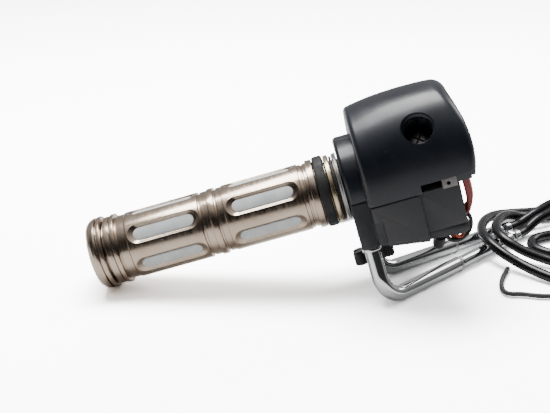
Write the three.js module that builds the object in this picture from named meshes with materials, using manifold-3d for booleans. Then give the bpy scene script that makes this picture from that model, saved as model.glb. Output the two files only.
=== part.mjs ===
// Twist-grip throttle assembly for a 1 inch handlebar: machined metal grip, two-piece switch housing,
// two elbowed throttle cables with adjusters, and a switch harness. Millimetres, +Z up.
// The assembly lies on a flat surface: it rests on the rim of the end cap and on the two cable elbows.
import * as THREE from "three";
import { mergeVertices } from "three/addons/utils/BufferGeometryUtils.js";
import Module from "manifold-3d";

const wasm = await Module();
wasm.setup();

const DEG = Math.PI / 180;
const GAP = 0.3; // clearance between pieces that touch

// How the bar axis lies: it rises from the end cap to the housing, and the housing leans to the front.
const BAR_PITCH = 16 * DEG;
const HOUSING_ROLL = 3 * DEG;
const BASE_CENTRE_X = 113.69; // middle of the resting footprint, measured from below the end cap
const BASE_CENTRE_Y = 13.3;

// Grip, along the bar axis: s is the distance from the middle of the cap's rim corner, r the radius.
const CAP_RADIUS = 18.6;
const CAP_CORNER = 2;
const CAP_FACE = -2.4; // the outer face stands out past the rim
const CAP_FACE_RADIUS = 14.5;
const BAR_HOLE_RADIUS = 12.95;
const TUBE_RADIUS = 14.3;
const SLEEVE_BORE = 15.6;
const BODY_RADIUS = 17.1;
const GROOVE_RADIUS = 16.4;
const NECK_RADIUS = 16.6;
const CAP_END = 6.2;
const CAP_SPIGOT_END = 12.4;
const SLEEVE_END = 123.7;
// Two rings of windows; the angles are in degrees from the front towards the top, heights above the bar axis.
const WINDOW = { centres: [38.2, 90], perRing: 6, first: -18.5, step: 60 };
const WINDOW_MOUTH = { height: 17.5, length: 38.8, width: 12.8 };
const WINDOW_FLOOR = { height: 15.5, length: 32, width: 7 };
const INLAY_RADIUS = 16;

// Cable drum at the end of the throttle tube, inside the housing.
const DRUM = { left: 133, right: 138.4, radius: 18.4, groove: 15, grooveWidth: 1.6 };
const DRUM_ROOM = { left: 132.6, right: 139.2, radius: 19.5 };
const CABLE_PULL_RADIUS = 15.5;
const NIPPLES = { angles: [45 * DEG, 85 * DEG], circle: 16.1, radius: 1.85, pocket: 2.2 };

// Housing shells.
const COLLAR = { left: 131, right: 144, radius: 25 };
const SHELL = { left: 139.3, right: 195.4, halfDepth: 34, height: 41.1, wall: 3 };
const SPLIT = 0.2; // half the split line's gap
const NOTCH = { left: 165.7, wires: 183.8, top: 4.5, strip: -32.2, stripBottom: 0.4 };
const LOWER = {
  left: 140.2,
  step: 164.5,
  right: 184.5,
  halfDepth: 34,
  rightHalfDepth: 31,
  bottom: -23.5,
  stepBottom: -27.5,
};
const LIP = {
  radius: 4.6,
  tipRadius: 3.2,
  points: [[163.5, -23.5, -25], [183, -23.5, -27], [185.2, -23.5, -27.2]],
};
const WIRE_SLOT = { left: 180, front: -29.2, rear: -18.4, bottom: -21.6, top: -15.5 };
const CLAMP_RADIUS = 13.3;
const ACCESS_HOLE = { s: 171.5, y: -23.2, z: 27.7, radius: 7, depth: 14 };
const ROCKER = { s: 171.5, y: 23.2, z: 27.7, length: 15, width: 9 };
const START_BUTTON = { s: 169, z: -10, radius: 5.2, proud: 2.6 };
const HOUSING_SCREW = { s: 154, y: 24, radius: 2, head: 3.4, headHeight: 2.6, postRadius: 4.4 };

// Cable sockets: both cables leave tangent to the drum, leaning forward about the bar axis.
const CABLE_LEAN = 19 * DEG;
const CABLE_S = 135.7;
const THROTTLE_TURN = 75 * DEG;
const ELBOW_RADIUS = 4;
const ELBOW_BEND = 13;
const ADJUSTER_RADIUS = 3.5;
const CABLES = [
  { name: "front", side: -1, top: 18, socketEnd: 31.5, heading: 42.2 * DEG, leg: 58.8, adjuster: 58.2 },
  { name: "rear", side: 1, top: 17.5, socketEnd: 28, heading: 34 * DEG, leg: 55, adjuster: 47 },
];
const FRICTION = { s: CABLE_S, knobTop: 34, knobBottom: 41, shaft: 2.8 };

// Free cables and leads, lying on the table. Points are the middle of each cord.
const JACKET_RADIUS = 2.75;
const HARNESS_RADIUS = 3;
const LOOSE_WIRE_RADIUS = 1.25;
const WIRE_RADIUS = 0.75;
const END_SLEEVE = { length: 27, bore: 5, nippleLength: 5 };
const WIRE_TRAVEL = CABLE_PULL_RADIUS * THROTTLE_TURN;
const COIL = { x: 364, y: 42, inner: 24.8, outer: 36.2, height: 11.6 };
const LEAD_IN = {
  front: [[247, 59.2, 8.6], [263, 65.5, 12], [282, 67.5, 13], [302, 64, 12.4], [322, 50, 10.5]],
  rear: [[246, 66.5, 8.6], [262, 75.5, 12.6], [284, 78.5, 13.4], [306, 73, 12.4], [324, 58, 10.6]],
};
const JACKET_LOOP = {
  front: {
    steps: 18,
    route: [
      [338, 80.5, 3.1], [310, 88, 3.1], [275, 87, 3.1], [250, 83, 3.1], [234, 77.5, 4.6], [222, 67, 7.6],
      [212.5, 51, 10.4], [208.3, 37, 10.9], [208.8, 25, 10.8], [213.5, 14.5, 8.6], [222, 5, 5.6],
      [233, -6, 3.6], [244, -15, 3.1], [254, -20.5, 3.1], [266, -22, 3.1],
    ],
  },
  rear: {
    steps: 26,
    route: [
      [332, 76, 3.1], [310, 80, 3.1], [275, 79, 3.1], [254, 75.5, 3.4], [240, 71.5, 5.2], [229.5, 63.5, 9.3],
      [221, 51, 11.2], [217, 39, 11.2], [219, 28, 9.9], [227, 19.5, 6.8], [238, 12, 4.6], [252, 3, 3.4],
      [270, -6, 3.1], [290, -9, 3.1], [308, -2, 3.1], [319, 16, 3.1], [313, 36, 3.1], [296, 46.5, 3.1],
      [272, 49.5, 3.1], [252, 48, 3.1], [240, 42, 3.1], [236.5, 33, 3.1], [240.5, 25.5, 3.1],
      [247, 21, 3.1], [256, 19.5, 3.1],
    ],
  },
};
const HARNESS = [
  [173, -18.3, 32.6], [173.2, -16, 28.4], [174.6, -8, 24.2], [177, 3, 21.5], [180.5, 15, 18.5],
  [184, 27, 14.5], [187, 40, 9.2], [189.5, 54, 4.6], [189, 70, 3.4], [183.5, 84, 3.4], [172, 93.5, 3.4],
  [157.5, 96, 3.4], [145, 91, 3.4], [135, 82.5, 3.4], [123.5, 78.5, 3.4], [110.5, 79.5, 3.4],
  [99.5, 85.5, 3.4], [88, 91, 3.4], [75, 92.5, 3.4], [61, 92.5, 3.4],
];
const LOOSE_WIRE = [
  [216.4, 7.6, 1.6], [211, -3.5, 1.6], [208, -12.4, 1.6], [207.5, -19.5, 1.6], [209.4, -22.8, 1.6],
  [214.4, -22.6, 1.6], [225.1, -25.5, 1.6], [236, -26.5, 1.6], [254, -34, 1.6], [280, -39, 1.6],
  [310, -38, 1.6], [338, -33, 1.6], [356, -24, 1.6], [366, -17, 1.6],
];

const METAL = {
  nickel: new THREE.MeshStandardMaterial({ color: 0xa99c8c, roughness: 0.3, metalness: 1 }),
  bronze: new THREE.MeshStandardMaterial({ color: 0xb59f7c, roughness: 0.3, metalness: 1 }),
  steel: new THREE.MeshStandardMaterial({ color: 0xb9b9b6, roughness: 0.35, metalness: 1 }),
  chrome: new THREE.MeshStandardMaterial({ color: 0xe2e3e5, roughness: 0.06, metalness: 1 }),
  brass: new THREE.MeshStandardMaterial({ color: 0xb08d4b, roughness: 0.4, metalness: 1 }),
};
const PLASTIC = {
  inlay: new THREE.MeshStandardMaterial({ color: 0xb7babb, roughness: 0.55, metalness: 0 }),
  tube: new THREE.MeshStandardMaterial({ color: 0x1c1c1d, roughness: 0.5, metalness: 0 }),
  gloss: new THREE.MeshStandardMaterial({ color: 0x1b1c1f, roughness: 0.3, metalness: 0 }),
  satin: new THREE.MeshStandardMaterial({ color: 0x2e2f32, roughness: 0.55, metalness: 0 }),
  rubber: new THREE.MeshStandardMaterial({ color: 0x141415, roughness: 0.75, metalness: 0 }),
  jacket: new THREE.MeshStandardMaterial({ color: 0x19191b, roughness: 0.4, metalness: 0 }),
  sleeve: new THREE.MeshStandardMaterial({ color: 0x1a1a1a, roughness: 0.6, metalness: 0 }),
  red: new THREE.MeshStandardMaterial({ color: 0xa8301f, roughness: 0.45, metalness: 0 }),
  orange: new THREE.MeshStandardMaterial({ color: 0xc2492b, roughness: 0.45, metalness: 0 }),
  maroon: new THREE.MeshStandardMaterial({ color: 0x6e1d18, roughness: 0.45, metalness: 0 }),
  tan: new THREE.MeshStandardMaterial({ color: 0x8f8462, roughness: 0.45, metalness: 0 }),
};

// ---- solids ----

function solidOf(geometry) {
  const bare = geometry.clone();
  bare.deleteAttribute("normal");
  bare.deleteAttribute("uv");
  const merged = mergeVertices(bare, 1e-4);
  const source = merged.index.array;
  const kept = [];
  for (let i = 0; i < source.length; i += 3) {
    const [a, b, c] = [source[i], source[i + 1], source[i + 2]];
    if (a !== b && b !== c && a !== c) kept.push(a, b, c);
  }
  return new wasm.Manifold(
    new wasm.Mesh({
      numProp: 3,
      vertProperties: new Float32Array(merged.attributes.position.array),
      triVerts: new Uint32Array(kept),
    }),
  );
}

function geometryOf(solid) {
  const mesh = solid.getMesh();
  const position = new Float32Array(mesh.numVert * 3);
  for (let i = 0; i < mesh.numVert; i++) {
    position.set(mesh.vertProperties.subarray(i * mesh.numProp, i * mesh.numProp + 3), i * 3);
  }
  const geometry = new THREE.BufferGeometry();
  geometry.setAttribute("position", new THREE.BufferAttribute(position, 3));
  geometry.setIndex(new THREE.BufferAttribute(new Uint32Array(mesh.triVerts), 1));
  geometry.computeVertexNormals();
  return geometry;
}

const join = (...solids) => solids.reduce((sum, next) => sum.add(next));
const cut = (solid, ...tools) => tools.reduce((rest, tool) => rest.subtract(tool), solid);

// Lathe surface about +Y from [along, radius] points; a ring's outline closes on itself.
function lathe(points, segments) {
  const touchesAxis = points[0][1] === 0 && points[points.length - 1][1] === 0;
  const outline = points.map(([s, r]) => new THREE.Vector2(r, s));
  if (THREE.ShapeUtils.area(outline) < 0) outline.reverse();
  if (!touchesAxis) outline.push(outline[0].clone());
  return new THREE.LatheGeometry(outline, segments);
}

// Solid of revolution about the bar axis.
const turned = (points, segments = 24) => solidOf(lathe(points, segments).rotateZ(-Math.PI / 2));

// The same about any line: start is where along = 0.
function turnedOn(start, direction, points, segments) {
  const turn = new THREE.Quaternion().setFromUnitVectors(new THREE.Vector3(0, 1, 0), direction);
  return solidOf(lathe(points, segments).applyQuaternion(turn).translate(start.x, start.y, start.z));
}

const ring = (s0, s1, inner, outer, segments) =>
  turned([[s0, inner], [s1, inner], [s1, outer], [s0, outer]], segments);
const disc = (s0, s1, radius, segments) => turned([[s0, 0], [s0, radius], [s1, radius], [s1, 0]], segments);

// A straight round bar between two points.
function rod(from, to, radius, sides = 16, endRadius = radius) {
  const along = new THREE.Vector3().subVectors(to, from);
  const geometry = new THREE.CylinderGeometry(endRadius, radius, along.length(), sides);
  geometry.translate(0, along.length() / 2, 0);
  const turn = new THREE.Quaternion().setFromUnitVectors(new THREE.Vector3(0, 1, 0), along.normalize());
  geometry.applyQuaternion(turn);
  return solidOf(geometry.translate(from.x, from.y, from.z));
}

function box(s0, s1, y0, y1, z0, z1) {
  const geometry = new THREE.BoxGeometry(s1 - s0, y1 - y0, z1 - z0);
  return solidOf(geometry.translate((s0 + s1) / 2, (y0 + y1) / 2, (z0 + z1) / 2));
}

// A [y, z] outline extruded along the bar axis.
function sectionAlongBar(shape, s0, s1) {
  const geometry = new THREE.ExtrudeGeometry(shape, { depth: s1 - s0, bevelEnabled: false });
  const turn = new THREE.Matrix4().makeBasis(
    new THREE.Vector3(0, 1, 0),
    new THREE.Vector3(0, 0, 1),
    new THREE.Vector3(1, 0, 0),
  );
  return solidOf(geometry.applyMatrix4(turn).translate(s0, 0, 0));
}

// An [s, z] outline extruded across the housing, from y0 to y1.
function sideOutline(shape, y0, y1) {
  const geometry = new THREE.ExtrudeGeometry(shape, {
    depth: y1 - y0,
    bevelEnabled: false,
    curveSegments: 8,
  });
  return solidOf(geometry.rotateX(Math.PI / 2).translate(0, y1, 0));
}

function polygon(points) {
  return new THREE.Shape(points.map(([x, y]) => new THREE.Vector2(x, y)));
}

function stadium(length, width) {
  const half = (length - width) / 2;
  const shape = new THREE.Shape();
  shape.absarc(half, 0, width / 2, -Math.PI / 2, Math.PI / 2, false);
  shape.absarc(-half, 0, width / 2, Math.PI / 2, (3 * Math.PI) / 2, false);
  return shape;
}

// A round bar along a curve, closed at both ends.
function tubeAlong(curve, radius, sides, steps) {
  const circle = new THREE.Shape();
  for (let i = 0; i < sides; i++) {
    const angle = (2 * Math.PI * i) / sides;
    const [x, y] = [radius * Math.cos(angle), radius * Math.sin(angle)];
    if (i === 0) circle.moveTo(x, y);
    else circle.lineTo(x, y);
  }
  return solidOf(new THREE.ExtrudeGeometry(circle, { steps, extrudePath: curve, bevelEnabled: false }));
}

function spline(points) {
  const vectors = points.map((point) => new THREE.Vector3(...point));
  return new THREE.CatmullRomCurve3(vectors, false, "centripetal");
}

// ---- frames ----

const restHeight =
  (CAP_RADIUS - CAP_CORNER) * Math.cos(BAR_PITCH) + CAP_CORNER - CAP_CORNER * Math.sin(BAR_PITCH);
const assembly = new THREE.Group();
assembly.position.set(-BASE_CENTRE_X, -BASE_CENTRE_Y, 0);

const bar = new THREE.Group(); // x along the bar, y away from the front, z up across the bar
bar.rotation.order = "ZYX";
bar.rotation.set(HOUSING_ROLL, -BAR_PITCH, 0);
bar.position.set(0, 0, restHeight);
assembly.add(bar);
bar.updateMatrix();

const onTable = (s, y, z) => new THREE.Vector3(s, y, z).applyMatrix4(bar.matrix);

function add(parent, name, solid, material) {
  const mesh = new THREE.Mesh(geometryOf(solid), material);
  mesh.name = name;
  parent.add(mesh);
  return mesh;
}

// ---- grip: everything that turns with the rider's hand ----

// The same stadium hull over every window's place; a layer is a height above the axis, a length and a width.
function atWindows(...layers) {
  const thin = 0.1;
  const slabs = layers.map(({ height, length, width }) => {
    const slab = new THREE.ExtrudeGeometry(stadium(length, width), {
      depth: thin,
      bevelEnabled: false,
      curveSegments: 4,
    });
    return solidOf(slab.translate(0, 0, height - thin));
  });
  const block = wasm.Manifold.hull(slabs);
  return WINDOW.centres.flatMap((centre) =>
    Array.from({ length: WINDOW.perRing }, (_, i) =>
      block.translate([centre, 0, 0]).rotate([90 - WINDOW.first - i * WINDOW.step, 0, 0]),
    ),
  );
}

function endCap() {
  return turned([
    [CAP_FACE, 0], [CAP_FACE, CAP_FACE_RADIUS], [-1.9, 16.2], [-0.9, 17.3], [0.3, 18.1], [2, CAP_RADIUS],
    [3.3, CAP_RADIUS], [3.5, 17.9], [3.9, 17.9], [4.1, 18.8], [5.8, 18.8], [CAP_END, 18.3],
    [CAP_END, SLEEVE_BORE - GAP], [CAP_SPIGOT_END, SLEEVE_BORE - GAP], [CAP_SPIGOT_END, 12], [10, 12],
    [10, 0],
  ]);
}

function gripSleeve() {
  const start = CAP_END + GAP;
  const outer = [
    [start, GROOVE_RADIUS], [7.1, GROOVE_RADIUS], [7.3, 17.6], [10.6, 17.6], [10.8, 17.2], [11, 18.2],
    [13.2, 18.2], [13.4, GROOVE_RADIUS], [14.2, GROOVE_RADIUS], [14.4, NECK_RADIUS], [18.5, NECK_RADIUS],
    [18.9, BODY_RADIUS], [57.5, BODY_RADIUS], [57.8, GROOVE_RADIUS], [58.6, GROOVE_RADIUS],
    [58.8, NECK_RADIUS], [62.5, NECK_RADIUS], [62.7, 17.2], [65.7, 17.2], [65.9, GROOVE_RADIUS],
    [66.8, GROOVE_RADIUS], [67, NECK_RADIUS], [70, NECK_RADIUS], [70.4, BODY_RADIUS], [110, BODY_RADIUS],
    [110.4, NECK_RADIUS], [111.9, NECK_RADIUS], [112.1, GROOVE_RADIUS], [112.7, GROOVE_RADIUS],
    [112.9, NECK_RADIUS], [114.4, NECK_RADIUS], [114.6, 17.6], [117.7, 17.6], [118, 16], [SLEEVE_END, 16],
  ];
  const seat = TUBE_RADIUS + GAP;
  const bore = [[SLEEVE_END, seat], [113.4, seat], [113.4, SLEEVE_BORE], [start, SLEEVE_BORE]];
  const shafts = atWindows({ ...WINDOW_FLOOR, height: 12.5 }, WINDOW_FLOOR);
  return cut(turned([...outer, ...bore]), ...shafts, ...atWindows(WINDOW_FLOOR, WINDOW_MOUTH));
}

// Soft sleeve under the metal one, with a raised land that fills each window.
function inlaySleeve() {
  const land = { length: WINDOW_FLOOR.length - 2 * GAP, width: WINDOW_FLOOR.width - 2 * GAP };
  const lands = atWindows({ ...land, height: 15 }, { ...land, height: 17 });
  const trim = disc(20, 110, INLAY_RADIUS);
  const sleeve = ring(13, 113, TUBE_RADIUS + GAP, SLEEVE_BORE - GAP);
  return join(sleeve, ...lands.map((solid) => solid.intersect(trim)));
}

// A round bar across the drum's rim, where a cable nipple sits.
function acrossDrum(angle, from, to, radius) {
  const at = (s) => new THREE.Vector3(s, -NIPPLES.circle * Math.cos(angle), NIPPLES.circle * Math.sin(angle));
  return rod(at(from), at(to), radius, 12);
}

function throttleTube() {
  const grooveLeft = CABLE_S - DRUM.grooveWidth / 2;
  const grooveRight = CABLE_S + DRUM.grooveWidth / 2;
  const tube = turned([
    [13, BAR_HOLE_RADIUS], [149, BAR_HOLE_RADIUS], [149, TUBE_RADIUS - 1], [DRUM.right, TUBE_RADIUS - 1],
    [DRUM.right, DRUM.radius], [grooveRight, DRUM.radius], [grooveRight, DRUM.groove],
    [grooveLeft, DRUM.groove], [grooveLeft, DRUM.radius], [DRUM.left, DRUM.radius],
    [DRUM.left, TUBE_RADIUS], [13, TUBE_RADIUS],
  ]);
  const pockets = NIPPLES.angles.map((angle) =>
    acrossDrum(angle, DRUM.left - 1, DRUM.right + 1, NIPPLES.pocket),
  );
  return cut(tube, ...pockets);
}

function buildGrip() {
  add(bar, "end_cap", endCap(), METAL.nickel);
  add(bar, "grip_sleeve", gripSleeve(), METAL.nickel);
  add(bar, "inlay_sleeve", inlaySleeve(), PLASTIC.inlay);
  add(bar, "throttle_tube", throttleTube(), PLASTIC.tube);
  const cord = { left: 118.3, right: 123.5, inner: 16.3, outer: 18.3 };
  add(bar, "o_ring", turned([
    [cord.left, cord.inner], [cord.right, cord.inner], [cord.right, 17.7], [cord.right - 0.8, cord.outer],
    [cord.left + 0.8, cord.outer], [cord.left, 17.7],
  ]), PLASTIC.rubber);
  const seat = TUBE_RADIUS + GAP;
  add(bar, "clamp_ring", turned([
    [124, seat], [126.5, seat], [126.5, 17.2], [126.1, 17.6], [124.4, 17.6], [124, 17.2],
  ]), METAL.bronze);
  add(bar, "thrust_washer", ring(126.8, 128, seat, 16.5), PLASTIC.rubber);
  add(bar, "flange_nut", turned([
    [128.3, seat], [130.6, seat], [130.6, 17.4], [130.2, 17.9], [129.6, 17.3], [129.2, 17.9], [128.7, 17.4],
    [128.3, 17],
  ]), METAL.steel);
  NIPPLES.angles.forEach((angle, i) => {
    const nipple = acrossDrum(angle, DRUM.left + 0.2, DRUM.right - 0.2, NIPPLES.radius);
    add(bar, ["pull_drum_nipple", "return_drum_nipple"][i], nipple, METAL.brass);
  });
}

// ---- housing ----

function archShape(halfDepth, height, z0) {
  const shape = new THREE.Shape();
  const steps = 18;
  for (let i = 0; i <= steps; i++) {
    const angle = (Math.PI * i) / steps;
    const power = 0.93; // a little fuller than an ellipse
    const y = halfDepth * Math.sign(Math.cos(angle)) * Math.abs(Math.cos(angle)) ** power;
    const z = Math.max(z0, height * Math.sin(angle) ** power);
    if (i === 0) shape.moveTo(y, z0);
    else shape.lineTo(y, z);
  }
  return shape;
}

function shellSide(inset) {
  const [left, right, z0] = [SHELL.left + inset, SHELL.right - inset, SPLIT];
  const shape = new THREE.Shape();
  shape.moveTo(left, z0);
  shape.lineTo(left + 1.2, 33.6 - inset);
  shape.quadraticCurveTo(left + 1.4, 37.2 - inset, left + 5, 38.4 - inset);
  shape.quadraticCurveTo(163.5, 42.9 - inset, 184.5 - inset, 40.4 - inset);
  shape.quadraticCurveTo(191.2 - inset, 38.6 - inset, right - 1.2, 27);
  shape.quadraticCurveTo(right + 0.3, 14, right - 1.2, 6);
  shape.lineTo(right - 2.4, z0);
  shape.closePath();
  return shape;
}

function archSolid(inset) {
  const arch = archShape(SHELL.halfDepth - inset, SHELL.height - inset, SPLIT);
  const block = sectionAlongBar(arch, SHELL.left - 1, SHELL.right + 1);
  return block.intersect(sideOutline(shellSide(inset), -40, 40));
}

function radialPoint(place, height) {
  const reach = Math.hypot(place.y, place.z);
  const factor = (reach + height) / reach;
  return new THREE.Vector3(place.s, place.y * factor, place.z * factor);
}

const topHalf = box(COLLAR.left, 200, -60, 60, SPLIT, 60);
const bottomHalf = box(COLLAR.left, 200, -60, 60, -60, -SPLIT);
const drumRoom = join(
  disc(DRUM_ROOM.left, DRUM_ROOM.right, DRUM_ROOM.radius),
  disc(COLLAR.left - 1, DRUM_ROOM.left + 1, TUBE_RADIUS + 0.5),
  disc(DRUM_ROOM.right - 1, 150, TUBE_RADIUS - 0.6),
);
const barRoom = disc(145, SHELL.right + 5, CLAMP_RADIUS);

function accessCup(radius, from, to) {
  return rod(radialPoint(ACCESS_HOLE, from), radialPoint(ACCESS_HOLE, to), radius, 20);
}

// A round bar on a housing screw's line, between two heights; side is -1 at the front and 1 at the rear.
function onScrewLine(side, from, to, radius) {
  const at = (z) => new THREE.Vector3(HOUSING_SCREW.s, side * HOUSING_SCREW.y, z);
  return rod(at(from), at(to), radius);
}

function upperShell() {
  const collarEnd = COLLAR.right + 2;
  const collarOuter = turned([
    [COLLAR.left, 0], [COLLAR.left, 23.4], [COLLAR.left + 1.4, COLLAR.radius], [collarEnd, COLLAR.radius],
    [collarEnd, 0],
  ], 28);
  const shell = archSolid(0);
  const hollow = archSolid(SHELL.wall).subtract(box(130, 150, -60, 60, -5, 60));
  const posts = [-1, 1].map((side) => onScrewLine(side, SPLIT, 24, HOUSING_SCREW.postRadius));
  const rightSaddle = box(180.5, 185, -17, 17, SPLIT, 40).intersect(archSolid(0.5));
  const cup = accessCup(8.8, -17, -1).intersect(archSolid(0.5));
  const strip = box(NOTCH.wires, 191.6, NOTCH.strip, -29.4, NOTCH.stripBottom, 7).intersect(archSolid(0.5));
  let body = cut(join(shell, collarOuter.intersect(topHalf)), hollow);
  body = join(body, ...posts, rightSaddle, cup, strip);
  const screwHoles = [-1, 1].map((side) => onScrewLine(side, -1, 17, HOUSING_SCREW.radius + GAP));
  const frontNotch = join(
    box(NOTCH.left, NOTCH.wires, -40, -24, -1, NOTCH.top),
    box(NOTCH.wires, SHELL.right + 1, -40, NOTCH.strip, -1, NOTCH.top),
    box(NOTCH.wires - 0.2, SHELL.right + 1, -34, -18.6, -1, NOTCH.stripBottom),
  );
  const rockerWindow = rockerBlock(ROCKER.length + 1.4, ROCKER.width + 2.4, -9, 6);
  return cut(
    body,
    drumRoom,
    barRoom,
    ...screwHoles,
    frontNotch,
    rockerWindow,
    accessCup(ACCESS_HOLE.radius, -ACCESS_HOLE.depth, 6),
    accessCup(2.8, -20, -ACCESS_HOLE.depth + 1),
  ).intersect(topHalf);
}

// A block over the rocker's place on the rear of the shell, between two heights above its surface.
function rockerBlock(length, width, from, to) {
  const geometry = new THREE.ExtrudeGeometry(stadium(length, width), {
    depth: to - from,
    bevelEnabled: false,
    curveSegments: 6,
  });
  const reach = Math.hypot(ROCKER.y, ROCKER.z);
  geometry.translate(0, 0, reach + from);
  geometry.rotateX(-Math.atan2(ROCKER.y, ROCKER.z));
  return solidOf(geometry.translate(ROCKER.s, 0, 0));
}

// A point on a cable's line: t runs out of the housing from where the cable meets the drum.
function cableLine(side, t) {
  const [c, k] = [Math.cos(CABLE_LEAN), Math.sin(CABLE_LEAN)];
  const offset = side * CABLE_PULL_RADIUS;
  return new THREE.Vector3(CABLE_S, offset * c - t * k, -offset * k - t * c);
}

const frictionPoint = (distance) => cableLine(0, distance);

// A round bar on the start button's line, between two distances from the bar's middle plane.
function onButtonLine(from, to, radius, endRadius = radius) {
  const at = (y) => new THREE.Vector3(START_BUTTON.s, y, START_BUTTON.z);
  return rod(at(from), at(to), radius, 20, endRadius);
}

function lowerShell() {
  const main = polygon([
    [-LOWER.halfDepth, -SPLIT], [-LOWER.halfDepth, -21], [-32.5, -24.4], [-29, LOWER.stepBottom],
    [29, LOWER.stepBottom], [32.5, -24.4], [LOWER.halfDepth, -21], [LOWER.halfDepth, -SPLIT],
  ]);
  const underside = polygon([
    [LOWER.left, 1], [LOWER.left, LOWER.bottom], [LOWER.step, LOWER.stepBottom], [LOWER.step, 1],
  ]);
  const right = polygon([
    [-LOWER.rightHalfDepth, -SPLIT], [-LOWER.rightHalfDepth, -20.5], [-28, -23.5], [28, -23.5],
    [LOWER.rightHalfDepth, -20.5], [LOWER.rightHalfDepth, -SPLIT],
  ]);
  const boss = polygon([
    [-25, -SPLIT], [-29.6, LOWER.bottom], [16, LOWER.bottom], [25, -12], [25, -SPLIT],
  ]);
  const [lipStart, lipEnd, lipTip] = LIP.points.map((point) => new THREE.Vector3(...point));
  const lip = join(
    rod(lipStart, lipEnd, LIP.radius, 20),
    rod(lipEnd, lipTip, LIP.radius, 20, LIP.tipRadius),
  );
  const sockets = CABLES.map(({ side, socketEnd }) =>
    rod(cableLine(side, 12), cableLine(side, socketEnd), 6.4, 20),
  );
  const hollow = join(
    box(150, 161, -29, 29, -20, 1),
    box(160, 181, -28, 28, -17.5, 1),
  );
  const posts = [-1, 1].map((side) => onScrewLine(side, -21, -SPLIT, HOUSING_SCREW.postRadius));
  const ledge = box(130, 144.3, -40, -29.6, -30, -8.5);
  const deep = sectionAlongBar(main, LOWER.left, LOWER.step).intersect(sideOutline(underside, -40, 40));
  let body = join(
    cut(deep, ledge),
    sectionAlongBar(right, LOWER.step - 1, LOWER.right),
    sectionAlongBar(boss, COLLAR.left, 144.3),
    lip,
    ...sockets,
  );
  body = join(cut(body, hollow), ...posts);
  const screwHoles = [-1, 1].flatMap((side) => [
    onScrewLine(side, -30, 2, HOUSING_SCREW.radius + GAP),
    onScrewLine(side, -30, -20, HOUSING_SCREW.head + 0.4),
  ]);
  const elbowHoles = CABLES.map(({ side }) =>
    rod(cableLine(side, 8), cableLine(side, 40), ELBOW_RADIUS + GAP, 20),
  );
  const buttonHole = onButtonLine(20, 40, START_BUTTON.radius + GAP);
  const harnessHole = box(173, 179, -26.5, -20.5, -34, -16);
  const wireSlot = box(
    WIRE_SLOT.left, LOWER.right + 1, WIRE_SLOT.front, WIRE_SLOT.rear, WIRE_SLOT.bottom, WIRE_SLOT.top,
  );
  return cut(
    body,
    drumRoom,
    barRoom,
    ...screwHoles,
    ...elbowHoles,
    buttonHole,
    harnessHole,
    wireSlot,
    rod(frictionPoint(12), frictionPoint(40), FRICTION.shaft + 0.5, 16),
    rod(frictionPoint(12), frictionPoint(22), 4.6, 20),
  ).intersect(bottomHalf);
}

function panHeadScrew(foot, seat, shaft, head, headHeight) {
  const along = new THREE.Vector3().subVectors(seat, foot).normalize();
  const top = seat.clone().addScaledVector(along, headHeight);
  const mid = seat.clone().addScaledVector(along, headHeight * 0.6);
  const slotAt = seat.clone().addScaledVector(along, headHeight * 0.45);
  const body = join(
    rod(foot, seat.clone().addScaledVector(along, 0.2), shaft, 14),
    rod(seat, mid, head, 20),
    rod(mid, top, head, 20, head * 0.6),
  );
  return cut(body, rod(slotAt, top.clone().addScaledVector(along, 1), head * 0.34, 6));
}

function housingHardware() {
  const seatOffset = 0.3;
  [["front", -1], ["rear", 1]].forEach(([name, side]) => {
    const screw = panHeadScrew(
      new THREE.Vector3(HOUSING_SCREW.s, side * HOUSING_SCREW.y, 15),
      new THREE.Vector3(HOUSING_SCREW.s, side * HOUSING_SCREW.y, -20 - seatOffset),
      HOUSING_SCREW.radius,
      HOUSING_SCREW.head,
      HOUSING_SCREW.headHeight,
    );
    add(bar, `housing_screw_${name}`, screw, METAL.steel);
  });
  const seat = radialPoint(ACCESS_HOLE, -ACCESS_HOLE.depth + seatOffset);
  add(bar, "recessed_screw", panHeadScrew(radialPoint(ACCESS_HOLE, -19), seat, 2.4, 5.4, 4), METAL.steel);
  const tab = join(box(176, 183.4, -32.3, -31.3, -1.2, 4.2), box(177, 182.4, -32.3, -24.4, 3.2, 4.2));
  const tabHole = rod(new THREE.Vector3(179.2, -34, 1.3), new THREE.Vector3(179.2, -30, 1.3), 1, 14);
  add(bar, "contact_plate", cut(tab, tabHole), METAL.steel);
}

function switches() {
  const cap = rockerBlock(ROCKER.length, ROCKER.width, -4, 2.4);
  const dish = rod(
    new THREE.Vector3(ROCKER.s - 12, ROCKER.y * 1.42, ROCKER.z * 1.42),
    new THREE.Vector3(ROCKER.s + 12, ROCKER.y * 1.42, ROCKER.z * 1.42),
    14,
    40,
  );
  add(bar, "stop_rocker", cut(cap, dish), PLASTIC.gloss);
  add(bar, "stop_switch", rockerBlock(13, 7, -13, -5.4), PLASTIC.satin);
  const face = LOWER.rightHalfDepth;
  const [top, chamfer] = [face + START_BUTTON.proud, 0.8];
  const button = join(
    onButtonLine(face - 4.4, top - chamfer, START_BUTTON.radius),
    onButtonLine(top - chamfer, top, START_BUTTON.radius, START_BUTTON.radius - chamfer),
  );
  add(bar, "start_button", button, PLASTIC.gloss);
  add(bar, "start_switch", box(163.5, 174.5, 17, face - 8, -15.5, -5), PLASTIC.satin);
}

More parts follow.
